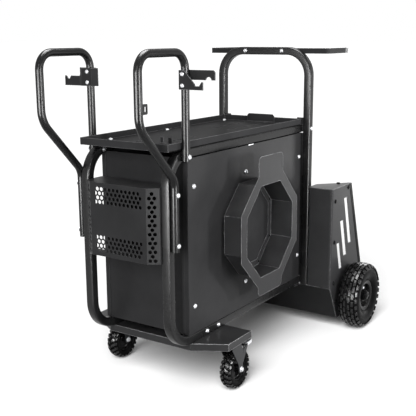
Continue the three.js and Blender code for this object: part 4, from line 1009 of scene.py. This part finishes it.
class CART_OT_screws(bpy.types.Operator):
    """Caps the screw heads of the panels, tray and rails with bright button heads, and those of the rack and the drum
    with dark ones
    """

    bl_idname = "cart.screws"
    bl_label = "Panel screws"

    def execute(self, context):
        sizes = context.scene.cart_fasteners
        bright = []
        dark = []
        for side in SIDES.values():
            out = AXIS_X * side
            bright += [(spot(side * 175.5, y, z), out) for y in (136, 457, 861) for z in (317, 715)]
            bright += [(spot(side * 175.5, y, 208), out) for y in (207, 276)]
            bright += [(spot(side * 160.5, y, 841.8), AXIS_Z) for y in (133, 452, 845)]
            rack = ((910, 542), (910, 376), (913, 207), (935, 123), (1031, 579))
            dark += [(spot(side * 314, y, z), out) for y, z in rack]
            dark.append((spot(side * 279, 1011, 594.8), AXIS_Z))
            dark.append((spot(side * 147, 888.8, 176), Vector((0, -1, -0.517))))
        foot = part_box("cable_drum")[0].x * 1000 + 1.5
        corners = [(y, z) for far, near in ((150, 71), (71, 150)) for y in (far, -far) for z in (near, -near)]
        small = [(spot(foot, 476 + y, 518 + z), AXIS_X) for y, z in corners]
        for name, slot, places, size in (
            ("panel_screws", "zinc_plate", bright, 1.0),
            ("rack_screws", "rim_paint", dark, 1.0),
            ("drum_screws", "rim_paint", small, 0.5),
        ):
            bm = bmesh.new()
            for point, out in places:
                head = facing(point, out) @ Matrix.Scale(size, 4)
                button_head(bm, head, sizes.screw, sizes.screw_height, sizes.socket)
            bmesh.ops.recalc_face_normals(bm, faces=bm.faces[:])
            keep_piece(bm, name, "frame", slot)
        return {"FINISHED"}


class CART_OT_trims(bpy.types.Operator):
    """Lays black strips under the tray's side lips as painted shadow, dark strips along the slanted rear edges of the
    rack sides, a black sheet behind the guard as painted shade, and the clip of the drum's panel
    """

    bl_idname = "cart.trims"
    bl_label = "Painted shadow and dark strips"

    def execute(self, context):
        low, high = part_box("tray")
        painted_shadow = bmesh.new()
        dark_strips = bmesh.new()
        # The band is a dark strip along each rack side's slanted rear edge.
        band = ((1040, 592.6), (1062, 592.6), (1246, 48.6), (1224, 48.6))
        for side in SIDES.values():
            face = side * high.x * 1000
            # Black strips under the tray's side lips paint the shadow of the gap above the rails.
            block(painted_shadow, spot(face - side * 1.5, 8, 837.6), spot(face + side * 0.4, 868, 841.6), 0.0003)
            verts = [dark_strips.verts.new(spot(side * 311, y, z)) for y, z in band]
            sheet = bmesh.ops.contextual_create(dark_strips, geom=verts)["faces"]
            raised = bmesh.ops.extrude_face_region(dark_strips, geom=sheet, use_keep_orig=True)["geom"]
            bmesh.ops.translate(dark_strips, vec=AXIS_X * side * 0.0042, verts=verts_of(raised))
        bmesh.ops.recalc_face_normals(dark_strips, faces=dark_strips.faces[:])
        keep_piece(painted_shadow, "tray_seals", "frame", "rubber")
        soften(keep_piece(dark_strips, "rack_edging", "frame", "rubber"), 0.0008)
        # A black sheet behind the guard paints the shade seen through its holes.
        painted_shade = bmesh.new()
        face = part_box("cabinet_front_panel")[0].y
        block(painted_shade, Vector((-0.16, face - 0.002, 0.46)), Vector((0.08, face + 0.0002, 0.7)), 0.0006)
        keep_piece(painted_shade, "guard_liner", "frame", "rubber")
        clip = bmesh.new()
        block(clip, spot(175.2, 473, 804.8), spot(176.8, 507, 808.2), 0.0005)
        keep_piece(clip, "panel_clip", "frame", "zinc_plate")
        return {"FINISHED"}


class CART_OT_studio(bpy.types.Operator):
    """Sets the floor, the light and the camera"""

    bl_idname = "cart.studio"
    bl_label = "Studio"

    def execute(self, context):
        studio = context.scene.cart_studio
        floor = self.floor(studio)
        self.world(context.scene, studio)
        self.link_light(self.sun(studio), [floor], "INCLUDE")
        front = self.softbox("front_softbox", studio.front, (0.20, 1.4), Vector((1.0, -2.9, 1.5)))
        right = self.softbox("right_softbox", studio.right, (0.20, 1.5), Vector((2.9, -0.8, 1.2)))
        rear = self.softbox("rear_softbox", studio.rear, (0.7, 0.45), Vector((1.4, 2.55, 0.28)))
        key = self.softbox("key_softbox", studio.key, (0.3, 0.3), Vector((2.48, 1.31, 0.8)))
        left = self.softbox("left_softbox", studio.fill, (1.2, 1.2), Vector((-3.0, 0.7, 1.2)))
        back = self.softbox("back_softbox", studio.fill, (1.2, 1.2), Vector((-0.6, 3.3, 1.4)))
        tubes = [bpy.data.objects[name] for name in TUBES]
        dim = [floor, *(frame["nodes"][name] for name in ("rack_base", "rack_top_right", "rack_top_left"))]
        for lamp, kept_dark in ((front, dim[:2]), (right, dim[:2]), (key, dim)):
            self.link_light(lamp, kept_dark, "EXCLUDE")
        for lamp, kept_dark in ((rear, []), (left, []), (back, dim[2:])):
            self.link_light(lamp, [floor, frame["nodes"]["tray"], *tubes, *kept_dark], "EXCLUDE")
        wheels = [item for item in bpy.data.objects if item.name.startswith(WHEELS)]
        folded = [frame["nodes"][name] for name in ("rack_side_right", "rack_side_left", "cable_drum")]
        shiny = [*tubes, *wheels, *folded]
        guard = frame["nodes"]["front_guard"]
        plate = frame["nodes"]["castor_plate"]
        for name, power, size, place, lit in (
            ("front_reflector", studio.front_glint, (1.5, 1.2), Vector((-0.15, -3.0, 0.6)), shiny),
            ("right_reflector", studio.right_glint, (1.3, 1.2), Vector((2.8, -1.0, 0.6)), [*shiny, guard]),
            ("corner_reflector", studio.corner_glint, (0.8, 0.8), Vector((1.97, -2.12, 0.12)), [*tubes[:3], guard]),
            ("top_reflector", studio.top_glint, (1.6, 1.6), Vector((0.0, -0.1, 3.0)), [*shiny, plate]),
        ):
            reflector = self.softbox(name, power, size, place)
            reflector.visible_diffuse = False
            self.link_light(reflector, lit, "INCLUDE")
        self.camera(context.scene, studio)
        context.scene.view_settings.view_transform = "Standard"
        return {"FINISHED"}

    def seen(self, tree):
        """One where the background is seen straight on, in a reflection or through glass."""
        path = add_node(tree, "ShaderNodeLightPath")
        mirrored = math_node(tree, "MAXIMUM", (path, "Is Glossy Ray"), (path, "Is Transmission Ray"))
        return math_node(tree, "MAXIMUM", (path, "Is Camera Ray"), (mirrored, "Value"))

    def floor(self, studio):
        material = bpy.data.materials.new("studio_floor")
        material.use_nodes = True
        tree = material.node_tree
        shader = tree.nodes["Principled BSDF"]
        shader.inputs["Roughness"].default_value = 1
        shader.inputs["Specular IOR Level"].default_value = 0
        shader.inputs["Emission Color"].default_value = (1, 1, 1, 1)
        seen = self.seen(tree)
        lift = math_node(tree, "MULTIPLY", (seen, "Value"), studio.floor_lift)
        link(tree, lift, "Value", shader, "Emission Strength")
        shown = tint(tree, (seen, "Value"), (studio.floor_bounce,) * 3, (0.9, 0.9, 0.9))
        tree.links.new(shown.outputs[2], shader.inputs["Base Color"])
        bm = bmesh.new()
        bmesh.ops.create_grid(bm, x_segments=1, y_segments=1, size=120)
        mesh = bpy.data.meshes.new("studio_floor")
        bm.to_mesh(mesh)
        bm.free()
        mesh.materials.append(material)
        floor = bpy.data.objects.new("studio_floor", mesh)
        bpy.context.scene.collection.objects.link(floor)
        return floor

    def link_light(self, lamp, objects, state):
        """Makes a lamp light these objects alone, or everything but them."""
        group = bpy.data.collections.new(lamp.name + "_receivers")
        for item in objects:
            group.objects.link(item)
        for entry in group.collection_objects:
            entry.light_linking.link_state = state
        lamp.light_linking.receiver_collection = group

    def world(self, scene, studio):
        world = bpy.data.worlds.new("studio_world")
        world.use_nodes = True
        scene.world = world
        tree = world.node_tree
        plain = tree.nodes["Background"]
        plain.inputs["Color"].default_value = (1, 1, 1, 1)
        plain.inputs["Strength"].default_value = studio.ambient
        white = add_node(tree, "ShaderNodeBackground")
        white.inputs["Color"].default_value = (1, 1, 1, 1)
        mix = add_node(tree, "ShaderNodeMixShader")
        link(tree, self.seen(tree), "Value", mix, "Fac")
        tree.links.new(plain.outputs["Background"], mix.inputs[1])
        tree.links.new(white.outputs["Background"], mix.inputs[2])
        link(tree, mix, "Shader", tree.nodes["World Output"], "Surface")

    def sun(self, studio):
        light = bpy.data.lights.new("overhead_light", "SUN")
        light.energy = studio.overhead
        light.angle = math.radians(40)
        lamp = bpy.data.objects.new("overhead_light", light)
        lamp.rotation_euler = facing(Vector(), Vector((0.38, -1.15, 1))).to_euler()
        bpy.context.scene.collection.objects.link(lamp)
        return lamp

    def softbox(self, name, power, size, place):
        aim = Vector((0.1, 0.0, 0.55))
        light = bpy.data.lights.new(name, "AREA")
        light.shape = "RECTANGLE"
        light.size, light.size_y = size
        light.energy = power
        lamp = bpy.data.objects.new(name, light)
        lamp.location = place
        lamp.rotation_euler = upright(place, place - aim, AXIS_Z.cross(place - aim)).to_euler()
        bpy.context.scene.collection.objects.link(lamp)
        return lamp

    def camera(self, scene, studio):
        right = Vector((math.cos(studio.heading), math.sin(studio.heading), 0))
        level = Vector((-math.sin(studio.heading), math.cos(studio.heading), 0))
        ahead = level * math.cos(studio.pitch) - AXIS_Z * math.sin(studio.pitch)
        up = right.cross(ahead)
        across = right * math.cos(studio.roll) + up * math.sin(studio.roll)
        upwards = up * math.cos(studio.roll) - right * math.sin(studio.roll)
        lens = bpy.data.cameras.new("camera")
        lens.sensor_width = 36
        lens.lens = studio.focal
        lens.clip_end = 500
        camera = bpy.data.objects.new("camera", lens)
        camera.location = studio.place
        camera.rotation_euler = Matrix((across, upwards, -ahead)).transposed().to_euler()
        scene.collection.objects.link(camera)
        scene.camera = camera


class CART_PT_panel(bpy.types.Panel):
    """Lists the steps that dress the cart"""

    bl_idname = "CART_PT_panel"
    bl_label = "Welding Cart"
    bl_space_type = "VIEW_3D"
    bl_region_type = "UI"
    bl_category = "Cart"

    def draw(self, context):
        for settings in SETTINGS:
            column = self.layout.column(align=True)
            group = getattr(context.scene, settings)
            for key in group.bl_rna.properties.keys():
                if key not in {"rna_type", "name"}:
                    column.prop(group, key)
        for step in STEPS:
            self.layout.operator(step.bl_idname)


SETTINGS = {
    "cart_tubes": CartTubeSizes,
    "cart_wheels": CartWheelSizes,
    "cart_fasteners": CartFastenerSizes,
    "cart_finishes": CartFinishes,
    "cart_studio": CartStudio,
}
STEPS = (
    CART_OT_finishes,
    CART_OT_side_frames,
    CART_OT_rear_hoop,
    CART_OT_handles,
    CART_OT_rear_wheels,
    CART_OT_castor_wheels,
    CART_OT_castor_forks,
    CART_OT_brake_pedals,
    CART_OT_bolts,
    CART_OT_screws,
    CART_OT_trims,
    CART_OT_studio,
)
CLASSES = (*SETTINGS.values(), *STEPS, CART_PT_panel)


def register():
    for cls in CLASSES:
        bpy.utils.register_class(cls)
    for name, settings in SETTINGS.items():
        setattr(bpy.types.Scene, name, PointerProperty(type=settings))


def unregister():
    for name in SETTINGS:
        delattr(bpy.types.Scene, name)
    for cls in reversed(CLASSES):
        bpy.utils.unregister_class(cls)


def main():
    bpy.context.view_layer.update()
    register()
    for step in STEPS:
        group, name = step.bl_idname.split(".")
        getattr(getattr(bpy.ops, group), name)()


if __name__ == "__main__":
    main()
